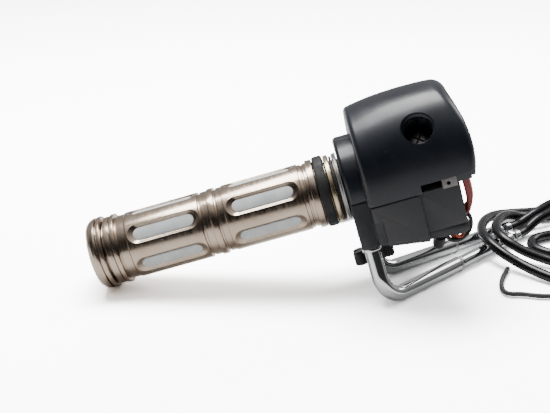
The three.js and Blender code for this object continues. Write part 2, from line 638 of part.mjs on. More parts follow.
function frictionScrew() {
  const lobes = 5;
  const outline = new THREE.Shape();
  const steps = 40;
  for (let i = 0; i < steps; i++) {
    const angle = (2 * Math.PI * i) / steps;
    const radius = 8.75 + 2.3 * Math.tanh(2.2 * Math.cos(lobes * angle));
    const [x, y] = [radius * Math.cos(angle), radius * Math.sin(angle)];
    if (i === 0) outline.moveTo(x, y);
    else outline.lineTo(x, y);
  }
  const height = FRICTION.knobBottom - FRICTION.knobTop;
  const head = new THREE.ExtrudeGeometry(outline, {
    depth: height - 1.6,
    bevelEnabled: true,
    bevelSize: 0.8,
    bevelThickness: 0.8,
    bevelOffset: -0.8,
    bevelSegments: 1,
  });
  head.translate(0, 0, 0.8 - FRICTION.knobBottom);
  head.rotateX(-CABLE_LEAN);
  const star = solidOf(head.translate(FRICTION.s, 0, 0));
  const shaft = rod(frictionPoint(21.4), frictionPoint(FRICTION.knobTop + 1), FRICTION.shaft, 16);
  add(bar, "friction_knob", join(star, shaft), PLASTIC.rubber);
  add(bar, "friction_pad", rod(frictionPoint(DRUM.radius + 0.35), frictionPoint(21.1), 4.2, 20), METAL.brass);
  const coil = { turns: 4, radius: 4.1, wire: 0.55, from: 25.7, to: 33.1 };
  const across = frictionPoint(1).normalize();
  class Helix extends THREE.Curve {
    getPoint(t, target = new THREE.Vector3()) {
      const angle = 2 * Math.PI * coil.turns * t;
      const [x, y] = [coil.radius * Math.cos(angle), coil.radius * Math.sin(angle)];
      const reach = coil.from + coil.wire + (coil.to - coil.from - 2 * coil.wire) * t;
      return target.set(FRICTION.s + x, y * Math.cos(CABLE_LEAN), -y * Math.sin(CABLE_LEAN))
        .add(new THREE.Vector3(0, across.y, across.z).multiplyScalar(reach / Math.hypot(across.y, across.z)));
    }
  }
  add(bar, "friction_spring", tubeAlong(new Helix(), coil.wire, 5, coil.turns * 9), METAL.steel);
}

// ---- cable elbows, adjusters and their rings, lying along the table ----

// A straight run to a corner, a bend of the given radius, and a straight run on.
function elbowPath(top, corner, end, bend) {
  const up = new THREE.Vector3().subVectors(top, corner).normalize();
  const out = new THREE.Vector3().subVectors(end, corner).normalize();
  const half = up.angleTo(out) / 2;
  const trim = bend / Math.tan(half);
  const bisector = up.clone().add(out).normalize();
  const centre = corner.clone().addScaledVector(bisector, bend / Math.sin(half));
  const first = corner.clone().addScaledVector(up, trim).sub(centre);
  const last = corner.clone().addScaledVector(out, trim).sub(centre);
  const sweep = first.angleTo(last);
  const path = new THREE.CurvePath();
  path.add(new THREE.LineCurve3(top, first.clone().add(centre)));
  class Bend extends THREE.Curve {
    getPoint(t, target = new THREE.Vector3()) {
      const [a, b] = [Math.sin((1 - t) * sweep) / Math.sin(sweep), Math.sin(t * sweep) / Math.sin(sweep)];
      return target.copy(centre).addScaledVector(first, a).addScaledVector(last, b);
    }
  }
  path.add(new Bend());
  path.add(new THREE.LineCurve3(last.clone().add(centre), end));
  return path;
}

function cableElbow(cable) {
  const top = cableLine(cable.side, cable.top).applyMatrix4(bar.matrix);
  const lower = cableLine(cable.side, cable.top + 10).applyMatrix4(bar.matrix);
  const fall = lower.clone().sub(top).normalize();
  const corner = top.clone().addScaledVector(fall, (top.z - ELBOW_RADIUS) / -fall.z);
  const heading = new THREE.Vector3(Math.cos(cable.heading), Math.sin(cable.heading), 0);
  const along = (distance) => corner.clone().addScaledVector(heading, distance);
  const path = elbowPath(top, corner, along(cable.leg), ELBOW_BEND);
  const collarAt = cableLine(cable.side, cable.socketEnd + 0.3).applyMatrix4(bar.matrix);
  const collar = rod(collarAt, collarAt.clone().addScaledVector(fall, 1.8), 4.9, 20);
  const tube = join(tubeAlong(path, ELBOW_RADIUS, 12, 26), collar);
  return { tube, along };
}

function buildCables() {
  const jacketStarts = {};
  for (const cable of CABLES) {
    const { tube, along } = cableElbow(cable);
    const { name, leg, adjuster } = cable;
    add(assembly, `elbow_${name}`, tube, METAL.chrome);
    const lockRing = rod(along(leg + GAP), along(leg + 2.2), ELBOW_RADIUS, 20);
    add(assembly, `lock_ring_${name}`, lockRing, METAL.steel);
    const from = leg + 2.5;
    const to = leg + adjuster - 6.5;
    const barrel = join(
      rod(along(from), along(from + 0.8), 2.9, 20, ADJUSTER_RADIUS),
      rod(along(from + 0.8), along(to - 2), ADJUSTER_RADIUS, 20),
      rod(along(to - 2), along(to), ADJUSTER_RADIUS, 20, 3),
    );
    add(assembly, `adjuster_${name}`, barrel, METAL.chrome);
    const ferrule = join(
      rod(along(to + GAP), along(to + 2.6), 3.8, 6),
      rod(along(to + 2.2), along(to + 6.2), 3.3, 20),
    );
    add(assembly, `jacket_ferrule_${name}`, ferrule, METAL.chrome);
    jacketStarts[name] = { at: along(to + 6.5), next: along(to + 15) };
  }
  return jacketStarts;
}

// ---- leads held between the shells ----

function leadWires() {
  const wires = [
    { name: "lead_wire_maroon", radius: 1.1, y: -27.6, bulge: 3, material: PLASTIC.maroon },
    { name: "lead_wire_red", radius: 1.1, y: -25.1, bulge: 4.5, material: PLASTIC.red },
    { name: "lead_wire_orange", radius: 1.1, y: -22.6, bulge: 5.4, material: PLASTIC.orange },
    { name: "lead_wire_tan", radius: 1.0, y: -20.2, bulge: 5.4, material: PLASTIC.tan },
  ];
  const face = LOWER.right;
  for (const { name, radius, y, bulge, material } of wires) {
    const route = spline([
      [face + 1.7, y, 8],
      [face + 0.5 * bulge, y, 4.4],
      [face + 0.9 * bulge, y, -1.5],
      [face + bulge, y, -8],
      [face + 0.9 * bulge, y, -14],
      [face + 0.45 * bulge, y, -18.2],
      [face - 2, y, -19.2],
    ]);
    add(bar, name, tubeAlong(route, radius, 8, 10), material);
  }
}

// ---- free cords: throttle cable jackets, switch harness and one loose wire ----

// The jackets' spare length, coiled side by side and two high.
function jacketCoil() {
  const { x, y, inner, outer, height } = COIL;
  const outline = [[inner, GAP], [outer, GAP], [outer, height], [inner, height], [inner, GAP]];
  const profile = outline.map(([r, z]) => new THREE.Vector2(r, z));
  return solidOf(new THREE.LatheGeometry(profile, 28).rotateX(Math.PI / 2).translate(x, y, 0));
}

// A jacket's end sleeve, and the inner wire that slides in it; reach is how far the wire stands out at rest.
function endFitting(name, end, before, reach) {
  const along = new THREE.Vector3().subVectors(end, before).normalize();
  const { length, bore, nippleLength } = END_SLEEVE;
  const sleeve = [
    [GAP, 0], [GAP, 3.1], [9, 3.1], [9, 2.7], [length - 3, 2.7], [length, 1.9], [length, 1.2], [bore, 1.2],
    [bore, 0],
  ];
  add(assembly, `${name}_end_sleeve`, turnedOn(end, along, sleeve, 16), METAL.steel);
  const from = bore + 0.5 + reach;
  const nipple = length + 3.5 + reach;
  const wire = [
    [from, 0], [from, WIRE_RADIUS], [nipple, WIRE_RADIUS], [nipple, 2.2], [nipple + nippleLength, 2.2],
    [nipple + nippleLength, 0],
  ];
  add(assembly, `${name}_wire_end`, turnedOn(end, along, wire, 12), METAL.brass);
}

function buildCords(starts) {
  for (const [name, route] of Object.entries(LEAD_IN)) {
    const { at, next } = starts[name];
    const curve = spline([at.toArray(), next.toArray(), ...route]);
    add(assembly, `${name}_jacket_lead`, tubeAlong(curve, JACKET_RADIUS, 8, 7), PLASTIC.jacket);
  }
  add(assembly, "jacket_coil", jacketCoil(), PLASTIC.jacket);
  for (const [name, { route, steps }] of Object.entries(JACKET_LOOP)) {
    const curve = spline(route);
    add(assembly, `${name}_jacket_loop`, tubeAlong(curve, JACKET_RADIUS, 8, steps), PLASTIC.jacket);
    const [before, last] = route.slice(-2).map((point) => new THREE.Vector3(...point));
    endFitting(name, last, before, name === "front" ? WIRE_TRAVEL : 0);
  }
  add(assembly, "harness", tubeAlong(spline(HARNESS), HARNESS_RADIUS, 8, 24), PLASTIC.sleeve);
  const [x, y, z] = HARNESS[HARNESS.length - 1];
  const plug = new THREE.BoxGeometry(22, 14, 9).translate(x - 12, y, z + 1.4);
  add(assembly, "harness_connector", solidOf(plug), PLASTIC.satin);
  add(assembly, "loose_wire", tubeAlong(spline(LOOSE_WIRE), LOOSE_WIRE_RADIUS, 8, 12), PLASTIC.sleeve);
}

buildGrip();
add(bar, "upper_shell", upperShell(), PLASTIC.gloss);
add(bar, "lower_shell", lowerShell(), PLASTIC.satin);
housingHardware();
switches();
frictionScrew();
leadWires();
buildCords(buildCables());

export default assembly;
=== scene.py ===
"""Looks of the twist-grip throttle assembly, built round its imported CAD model. Blender 4.5.

Lengths in the tables below are millimetres, as in the CAD source. Two frames are used: BAR, with x along the
bar from the end cap (called s), y away from the front and z up across the bar, and TABLE, with x and y on the
surface that the assembly lies on. Every piece is built in one of them and moved to the row frame in metres.
"""

import math

import bmesh
import bpy
import numpy as np
from mathutils import Matrix, Vector


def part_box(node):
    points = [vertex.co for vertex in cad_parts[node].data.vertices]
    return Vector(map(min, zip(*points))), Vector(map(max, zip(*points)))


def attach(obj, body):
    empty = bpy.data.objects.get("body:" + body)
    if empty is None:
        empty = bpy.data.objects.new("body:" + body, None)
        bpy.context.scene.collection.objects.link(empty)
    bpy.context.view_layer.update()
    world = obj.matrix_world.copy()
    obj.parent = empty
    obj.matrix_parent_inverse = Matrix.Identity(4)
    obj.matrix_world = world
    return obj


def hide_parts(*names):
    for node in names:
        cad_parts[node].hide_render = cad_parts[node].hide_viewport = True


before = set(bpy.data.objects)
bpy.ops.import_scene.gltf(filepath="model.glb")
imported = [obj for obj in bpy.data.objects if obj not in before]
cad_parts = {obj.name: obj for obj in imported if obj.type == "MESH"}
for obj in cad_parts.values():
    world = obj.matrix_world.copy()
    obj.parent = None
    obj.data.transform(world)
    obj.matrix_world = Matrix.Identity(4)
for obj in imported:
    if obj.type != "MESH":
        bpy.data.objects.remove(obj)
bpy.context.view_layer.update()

MM = 0.001
BAR_PITCH = math.radians(16)
HOUSING_ROLL = math.radians(3)
BASE = Vector((113.69, 13.3, 0))
CAP_RADIUS, CAP_CORNER = 18.6, 2.0
REST_HEIGHT = (CAP_RADIUS - CAP_CORNER) * math.cos(BAR_PITCH) + CAP_CORNER * (1 - math.sin(BAR_PITCH))

TABLE = Matrix.Scale(MM, 4) @ Matrix.Translation(-BASE)
BAR_TURN = Matrix.Rotation(-BAR_PITCH, 4, "Y") @ Matrix.Rotation(HOUSING_ROLL, 4, "X")
BAR = TABLE @ Matrix.Translation((0, 0, REST_HEIGHT)) @ BAR_TURN


# ---- camera ----


def make_camera():
    azimuth, elevation, distance = math.radians(-2.165), math.radians(22), 0.52198
    target = TABLE @ Vector((90.62, 0, 42.51))
    back = Vector(
        (
            math.sin(azimuth) * math.cos(elevation),
            -math.cos(azimuth) * math.cos(elevation),
            math.sin(elevation),
        )
    )
    data = bpy.data.cameras.new("camera")
    data.lens = 66.66
    data.sensor_width = 36
    data.clip_start, data.clip_end = 0.01, 20
    camera = bpy.data.objects.new("camera", data)
    bpy.context.scene.collection.objects.link(camera)
    camera.location = target + back * distance
    camera.rotation_mode = "QUATERNION"
    camera.rotation_quaternion = (-back).to_track_quat("-Z", "Y")
    bpy.context.scene.camera = camera


# ---- mesh helpers, all in millimetres until a piece is placed ----


def new_object(name, verts, faces):
    mesh = bpy.data.meshes.new(name)
    mesh.from_pydata([tuple(v) for v in verts], [], faces)
    mesh.validate()
    obj = bpy.data.objects.new(name, mesh)
    bpy.context.scene.collection.objects.link(obj)
    return obj


def orient_outwards(obj):
    bm = bmesh.new()
    bm.from_mesh(obj.data)
    bmesh.ops.recalc_face_normals(bm, faces=bm.faces)
    bm.to_mesh(obj.data)
    bm.free()
    return obj


def soften(points, radius, closed=False, steps=4):
    """An outline with its corners rounded to the radius, or as far as its edges allow."""
    pts = [Vector(p).to_2d() if len(p) == 2 else Vector(p) for p in points]
    out = []
    count = len(pts)
    for i, p in enumerate(pts):
        if not closed and i in (0, count - 1):
            out.append(tuple(p))
            continue
        before, after = pts[i - 1], pts[(i + 1) % count]
        a, b = before - p, after - p
        if a.length < 1e-6 or b.length < 1e-6:
            continue
        angle = a.angle(b)
        if angle > math.radians(172):
            out.append(tuple(p))
            continue
        reach = min(radius / math.tan(angle / 2), 0.45 * a.length, 0.45 * b.length)
        start, end = p + a.normalized() * reach, p + b.normalized() * reach
        for k in range(steps + 1):
            t = k / steps
            out.append(tuple(start * (1 - t) ** 2 + p * 2 * t * (1 - t) + end * t**2))
    return out


def lathe(name, outline, segments=144, round_by=0.25):
    """Solid of revolution about x from (s, r) points. It closes on the axis, or on itself as a ring."""
    on_axis = outline[0][1] == 0
    pts = soften(outline, round_by, closed=not on_axis) if round_by else list(outline)
    verts, rows = [], []
    for s, r in pts:
        if r < 1e-6:
            rows.append([len(verts)] * segments)
            verts.append((s, 0, 0))
            continue
        rows.append(list(range(len(verts), len(verts) + segments)))
        for k in range(segments):
            angle = 2 * math.pi * k / segments
            verts.append((s, -r * math.cos(angle), r * math.sin(angle)))
    pairs = list(zip(rows, rows[1:]))
    if not on_axis:
        pairs.append((rows[-1], rows[0]))
    faces = []
    for lower, upper in pairs:
        for k in range(segments):
            n = (k + 1) % segments
            quad = [lower[k], lower[n], upper[n], upper[k]]
            face = [v for i, v in enumerate(quad) if v not in quad[:i]]
            if len(face) > 2:
                faces.append(face)
    return orient_outwards(new_object(name, verts, faces))


def loft(name, rings):
    """A skin over rings of equal point counts, closed at both ends."""
    count = len(rings[0])
    verts = [p for ring in rings for p in ring]
    faces = []
    for i in range(len(rings) - 1):
        for k in range(count):
            n = (k + 1) % count
            faces.append([i * count + k, i * count + n, (i + 1) * count + n, (i + 1) * count + k])
    faces.append(list(range(count))[::-1])
    faces.append([(len(rings) - 1) * count + k for k in range(count)])
    return orient_outwards(new_object(name, verts, faces))


def prism(name, outline, place, low, high, bevel=0.0):
    """A polygon extruded along one axis. place(u, v, w) puts outline point (u, v) at height w."""
    rings = [[place(u, v, w) for u, v in outline] for w in (low, high)]
    obj = loft(name, rings)
    if bevel:
        round_edges(obj, bevel)
    return obj


def across_bar(u, v, w):
    """Outline in y and z, extruded along the bar."""
    return (w, u, v)


def block(name, s, y, z, bevel=0.0):
    outline = [(y[0], z[0]), (y[1], z[0]), (y[1], z[1]), (y[0], z[1])]
    return prism(name, outline, across_bar, s[0], s[1], bevel)


def apply_modifiers(obj):
    graph = bpy.context.evaluated_depsgraph_get()
    mesh = bpy.data.meshes.new_from_object(obj.evaluated_get(graph))
    obj.modifiers.clear()
    old = obj.data
    obj.data = mesh
    bpy.data.meshes.remove(old)


def round_edges(obj, width, segments=3):
    bevel = obj.modifiers.new("bevel", "BEVEL")
    bevel.width = width
    bevel.segments = segments
    bevel.limit_method = "ANGLE"
    bevel.angle_limit = math.radians(30)
    apply_modifiers(obj)


def combine(target, tools, operation):
    for tool in tools:
        boolean = target.modifiers.new("boolean", "BOOLEAN")
        boolean.object = tool
        boolean.operation = operation
        boolean.solver = "EXACT"
        apply_modifiers(target)
        bpy.data.objects.remove(tool)
    return target


def cut(target, *tools):
    return combine(target, tools, "DIFFERENCE")


def join(target, *tools):
    return combine(target, tools, "UNION")


def keep_inside(target, tool):
    return combine(target, [tool], "INTERSECT")


def merge_meshes(name, parts):
    """One object from several that don't touch."""
    verts, faces = [], []
    for part in parts:
        start = len(verts)
        verts += [part.matrix_world @ v.co for v in part.data.vertices]
        faces += [[start + i for i in p.vertices] for p in part.data.polygons]
        bpy.data.objects.remove(part)
    return new_object(name, verts, faces)


def axis_frame(start, direction):
    """Puts a piece built along +x at start, pointing along direction."""
    turn = Vector((1, 0, 0)).rotation_difference(Vector(direction).normalized())
    return Matrix.Translation(Vector(start)) @ turn.to_matrix().to_4x4()


def moved(obj, matrix):
    obj.data.transform(matrix)
    return obj


def rod(name, start, end, radius, segments=48):
    start, end = Vector(start), Vector(end)
    length = (end - start).length
    obj = lathe(name, [(0, 0), (0, radius), (length, radius), (length, 0)], segments, round_by=0)
    return moved(obj, axis_frame(start, end - start))


def spline(points, spacing=1.0, smoothing=0):
    """A centripetal Catmull-Rom curve through the points, sampled evenly."""
    pts = [np.array(p, float) for p in points]
    pts = [2 * pts[0] - pts[1]] + pts + [2 * pts[-1] - pts[-2]]
    dense = []
    for i in range(1, len(pts) - 2):
        p0, p1, p2, p3 = pts[i - 1 : i + 3]
        t1 = np.linalg.norm(p1 - p0) ** 0.5
        t2 = t1 + np.linalg.norm(p2 - p1) ** 0.5
        t3 = t2 + np.linalg.norm(p3 - p2) ** 0.5
        for t in np.linspace(t1, t2, 40, endpoint=False):
            a1 = (t1 - t) / t1 * p0 + t / t1 * p1
            a2 = (t2 - t) / (t2 - t1) * p1 + (t - t1) / (t2 - t1) * p2
            a3 = (t3 - t) / (t3 - t2) * p2 + (t - t2) / (t3 - t2) * p3
            b1 = (t2 - t) / t2 * a1 + t / t2 * a2
            b2 = (t3 - t) / (t3 - t1) * a2 + (t - t1) / (t3 - t1) * a3
            dense.append((t2 - t) / (t2 - t1) * b1 + (t - t1) / (t2 - t1) * b2)
    dense.append(pts[-2])
    path = resample(np.array(dense), spacing)
    for _ in range(smoothing):
        path[1:-1] = 0.25 * path[:-2] + 0.5 * path[1:-1] + 0.25 * path[2:]
    return path


def resample(path, spacing):
    steps = np.linalg.norm(np.diff(path, axis=0), axis=1)
    run = np.concatenate([[0], np.cumsum(steps)])
    count = max(2, int(round(run[-1] / spacing)) + 1)
    at = np.linspace(0, run[-1], count)
    return np.stack([np.interp(at, run, path[:, k]) for k in range(3)], 1)


def tube(name, path, radius, sides=20):
    """A round tube along a path. radius may be one number or one for each point."""
    path = np.asarray(path, float)
    radii = np.full(len(path), radius) if np.isscalar(radius) else np.asarray(radius, float)
    tangents = np.gradient(path, axis=0)
    tangents /= np.linalg.norm(tangents, axis=1)[:, None]
    side = Vector(tangents[0]).orthogonal().normalized()
    rings = []
    for i, (point, tangent) in enumerate(zip(path, tangents)):
        if i:
            turn = Vector(tangents[i - 1]).rotation_difference(Vector(tangent))
            side = turn @ side
        other = Vector(tangent).cross(side)
        ring = []
        for k in range(sides):
            angle = 2 * math.pi * k / sides
            reach = side * (radii[i] * math.cos(angle)) + other * (radii[i] * math.sin(angle))
            ring.append(tuple(Vector(point) + reach))
        rings.append(ring)
    return loft(name, rings)


def place(obj, where, body, slot, material, replaced=(), sharp=32):
    """Moves a finished piece to the row frame, gives it its finish and lets it ride on its body."""
    obj.data.transform(where)
    obj.data.shade_smooth()
    obj.data.set_sharp_from_angle(angle=math.radians(sharp))
    obj.data.materials.clear()
    obj.data.materials.append(material)
    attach(obj, body)
    if replaced:
        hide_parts(*replaced)
    return obj


# ---- materials ----


class Nodes:
    """A short way to write one material's nodes."""

    def __init__(self, name, base, metallic=0.0, roughness=0.5):
        self.material = bpy.data.materials.new(name)
        self.material.use_nodes = True
        self.tree = self.material.node_tree
        self.shader = self.tree.nodes["Principled BSDF"]
        self.base = (*base, 1)
        self.shader.inputs["Base Color"].default_value = self.base
        self.shader.inputs["Metallic"].default_value = metallic
        self.shader.inputs["Roughness"].default_value = roughness
        self.coordinates = self.add("ShaderNodeTexCoord").outputs["Object"]

    def add(self, kind, **values):
        node = self.tree.nodes.new(kind)
        for key, value in values.items():
            if key in node.inputs:
                node.inputs[key].default_value = value
            else:
                setattr(node, key, value)
        return node

    def link(self, source, node, name):
        self.tree.links.new(source, node.inputs[name])

    def in_bar_frame(self, stretch=(1, 1, 1)):
        """Coordinates along and round the bar, in metres."""
        turn = self.add("ShaderNodeMapping", vector_type="TEXTURE")
        origin = BAR @ Vector((0, 0, 0))
        turn.inputs["Location"].default_value = origin
        turn.inputs["Rotation"].default_value = BAR_TURN.to_euler()
        self.link(self.coordinates, turn, "Vector")
        scale = self.add("ShaderNodeMapping")
        scale.inputs["Scale"].default_value = stretch
        self.link(turn.outputs["Vector"], scale, "Vector")
        return scale.outputs["Vector"]

    def noise(self, scale, detail=4.0, vector=None, distortion=0.0):
        values = {"Scale": scale, "Detail": detail, "Roughness": 0.55, "Distortion": distortion}
        node = self.add("ShaderNodeTexNoise", **values)
        self.link(vector or self.coordinates, node, "Vector")
        return node.outputs["Fac"]

    def remap(self, value, low, high, to_low, to_high):
        node = self.add("ShaderNodeMapRange")
        for name, number in (("From Min", low), ("From Max", high), ("To Min", to_low), ("To Max", to_high)):
            node.inputs[name].default_value = number
        self.link(value, node, "Value")
        return node.outputs["Result"]

    def vary_roughness(self, value, low, high, spread=(0.35, 0.65)):
        self.link(self.remap(value, *spread, low, high), self.shader, "Roughness")

    def vary_colour(self, value, other, spread=(0.35, 0.65), below=None):
        """Mixes another colour over the base colour, or over an earlier mix given as below."""
        mix = self.add("ShaderNodeMix", data_type="RGBA")
        self.tree.links.new(self.remap(value, *spread, 0, 1), mix.inputs[0])
        if below:
            self.tree.links.new(below, mix.inputs[6])
        else:
            mix.inputs[6].default_value = self.base
        mix.inputs[7].default_value = (*other, 1)
        self.link(mix.outputs[2], self.shader, "Base Color")
        return mix.outputs[2]

    def edges(self):
        """0 on flat stretches, rising to 1 on convex edges, which are painted lighter as a painted highlight.
        """
        geometry = self.add("ShaderNodeNewGeometry")
        return self.remap(geometry.outputs["Pointiness"], 0.52, 0.6, 0, 1)

    def hollows(self):
        """0 on flat stretches, rising to 1 in grooves and inside corners, which are painted darker as painted
        shade.
        """
        geometry = self.add("ShaderNodeNewGeometry")
        return self.remap(geometry.outputs["Pointiness"], 0.49, 0.44, 0, 1)

    def bump(self, *layers, rounded=0.0):
        """Bumps of (value, depth in metres), over edges rounded by a radius in metres."""
        normal = None
        if rounded:
            normal = self.add("ShaderNodeBevel", samples=6, Radius=rounded).outputs["Normal"]
        for value, depth in layers:
            node = self.add("ShaderNodeBump", Distance=depth, Strength=1.0)
            self.link(value, node, "Height")
            if normal:
                self.link(normal, node, "Normal")
            normal = node.outputs["Normal"]
        self.link(normal, self.shader, "Normal")


def turned_metal(name, base, other, roughness):
    """Lathe-turned metal: fine rings round the bar, soft stains and a few rubbed patches."""
    m = Nodes(name, base, metallic=1.0, roughness=roughness)
    rings = m.noise(1.0, detail=2.0, vector=m.in_bar_frame((4200, 30, 30)))
    streaks = m.noise(1.0, detail=3.0, vector=m.in_bar_frame((900, 60, 60)))
    stains = m.noise(60, detail=5.0)
    rubbed = m.noise(18, detail=3.0)
    colour = m.vary_colour(stains, other, (0.3, 0.75))
    # Painted highlight: convex edges get a lighter copy of the base colour.
    colour = m.vary_colour(m.edges(), tuple(min(1, c * 1.25) for c in base), (0.2, 1), colour)
    # Painted shade: grooves and inside corners are darkened to a dark brown.
    m.vary_colour(m.hollows(), (0.05, 0.04, 0.032), (0, 0.8), colour)
    m.vary_roughness(streaks, roughness * 0.8, roughness * 1.3)
    m.bump((rings, 4e-7), (rubbed, 2e-6), rounded=0.00018)
    return m.material


def plated(name, base, roughness, other=None):
    """Bright plating with faint haze, wipe marks and hairline scratches."""
    m = Nodes(name, base, metallic=1.0, roughness=roughness)
    haze = m.noise(45, detail=4.0)
    marks = m.noise(700, detail=2.0, distortion=0.6)
    m.vary_colour(haze, other or tuple(c * 0.9 for c in base), (0.45, 0.75))
    m.vary_roughness(haze, roughness, roughness * 2.2, (0.45, 0.8))
    m.bump((marks, 1e-6), rounded=0.00012)
    return m.material


def painted(name, base, roughness, peel, coat=0.0, shine=0.5):
    """Black paint on a casting: orange peel, a little dust in faint lighter clouds, and convex edges painted
    lighter as a painted highlight.
    """
    m = Nodes(name, base, roughness=roughness)
    grain = m.noise(900, detail=3.0)
    orange = m.noise(260, detail=1.5)
    cloud = m.noise(35, detail=5.0)
    colour = m.vary_colour(cloud, tuple(c * 1.9 for c in base), (0.4, 0.75))
    # Painted highlight: convex edges are mixed to a lighter grey.
    m.vary_colour(m.edges(), (0.06, 0.062, 0.066), (0.3, 1.3), colour)
    m.vary_roughness(cloud, roughness * 0.85, roughness * 1.35)
    m.bump((orange, peel), (grain, peel * 0.35), rounded=0.0003)
    m.shader.inputs["Specular IOR Level"].default_value = shine
    m.shader.inputs["Coat Weight"].default_value = coat
    m.shader.inputs["Coat Roughness"].default_value = 0.12
    return m.material


def soft_plastic(name, base, roughness, grain=6e-6, lighter=1.8):
    """Rubber, cable jackets and moulded plastic: fine grain, faint bloom and scuffs."""
    m = Nodes(name, base, roughness=roughness)
    grain_value = m.noise(1400, detail=3.0)
    bloom = m.noise(55, detail=5.0)
    scuffs = m.noise(240, detail=4.0, distortion=1.2)
    m.vary_colour(bloom, tuple(min(1, c * lighter) for c in base), (0.42, 0.75))
    m.vary_roughness(scuffs, roughness * 0.85, min(1, roughness * 1.25))
    m.bump((grain_value, grain), (scuffs, grain * 0.8), rounded=0.0002)
    return m.material


def frosted(name):
    m = Nodes(name, (0.66, 0.68, 0.69), roughness=0.42)
    grain_value = m.noise(1800, detail=3.0)
    cloud = m.noise(120, detail=4.0)
    m.vary_colour(cloud, (0.8, 0.82, 0.83), (0.35, 0.7))
    m.vary_roughness(cloud, 0.34, 0.52)
    m.bump((grain_value, 7e-6))
    m.shader.inputs["Subsurface Weight"].default_value = 0.25
    m.shader.inputs["Subsurface Radius"].default_value = (0.0012, 0.0012, 0.0012)
    return m.material


def make_materials():
    return {
        "nickel": turned_metal("satin_nickel", (0.5, 0.39, 0.3), (0.57, 0.47, 0.38), 0.21),
        "bronze": turned_metal("bronze_ring", (0.62, 0.5, 0.34), (0.5, 0.4, 0.27), 0.26),
        "copper": plated("cut_copper", (0.75, 0.3, 0.2), 0.35, (0.5, 0.16, 0.1)),
        "steel": plated("zinc_steel", (0.58, 0.58, 0.57), 0.28, (0.45, 0.44, 0.4)),
        "chrome": plated("bright_chrome", (0.88, 0.89, 0.9), 0.06),
        "brass": plated("dull_brass", (0.6, 0.44, 0.2), 0.32, (0.4, 0.28, 0.13)),
        "gloss_black": painted("gloss_black_paint", (0.006, 0.008, 0.013), 0.3, 7e-6, coat=0.1, shine=0.42),
        "satin_black": painted("satin_black_paint", (0.019, 0.02, 0.023), 0.46, 1.2e-5),
        "tube": soft_plastic("black_nylon", (0.02, 0.02, 0.021), 0.5),
        "rubber": soft_plastic("black_rubber", (0.007, 0.007, 0.008), 0.6),
        "knob": soft_plastic("knob_plastic", (0.011, 0.011, 0.011), 0.42),
        "jacket": soft_plastic("cable_jacket", (0.004, 0.004, 0.005), 0.24, grain=2e-6, lighter=1.6),
        "sheath": soft_plastic("harness_sheath", (0.019, 0.019, 0.02), 0.5),
        "loose": soft_plastic("loose_wire", (0.05, 0.046, 0.045), 0.5),
        "dark_steel": plated("dark_steel", (0.2, 0.195, 0.19), 0.36, (0.13, 0.125, 0.12)),
        "connector": soft_plastic("connector_nylon", (0.045, 0.045, 0.048), 0.5),
        "red": soft_plastic("red_insulation", (0.3, 0.026, 0.017), 0.36, lighter=1.3),
        "orange": soft_plastic("orange_insulation", (0.46, 0.07, 0.026), 0.36, lighter=1.2),
        "maroon": soft_plastic("maroon_insulation", (0.19, 0.02, 0.018), 0.42, lighter=1.5),
        "tan": soft_plastic("tan_insulation", (0.36, 0.3, 0.16), 0.42, lighter=1.25),
        "inlay": frosted("frosted_inlay"),
    }


# ---- cable geometry shared by the elbows and the free jackets ----

CABLE_S = 135.7
CABLE_LEAN = math.radians(19)
CABLE_PULL_RADIUS = 15.5
ELBOW_RADIUS = 4.0
ELBOW_BEND = 13.0
CABLES = {
    "front": {"side": -1, "top": 18, "socket_end": 31.5, "heading": 42.2, "leg": 58.8, "adjuster": 58.2},
    "rear": {"side": 1, "top": 17.5, "socket_end": 28, "heading": 34, "leg": 55, "adjuster": 47},
}


def cable_line(side, t):
    """A point in the bar frame on a cable's line, t out from where it meets the drum."""
    c, k = math.cos(CABLE_LEAN), math.sin(CABLE_LEAN)
    return Vector((CABLE_S, side * CABLE_PULL_RADIUS * c - t * k, -side * CABLE_PULL_RADIUS * k - t * c))


def bar_to_table(point):
    return BAR_TURN @ Vector(point) + Vector((0, 0, REST_HEIGHT))


def cable_layout(cable):
    top = bar_to_table(cable_line(cable["side"], cable["top"]))
    lower = bar_to_table(cable_line(cable["side"], cable["top"] + 10))
    fall = (lower - top).normalized()
    corner = top + fall * ((top.z - ELBOW_RADIUS) / -fall.z)
    angle = math.radians(cable["heading"])
    heading = Vector((math.cos(angle), math.sin(angle), 0))
    return top, fall, corner, heading


# ---- free cords ----

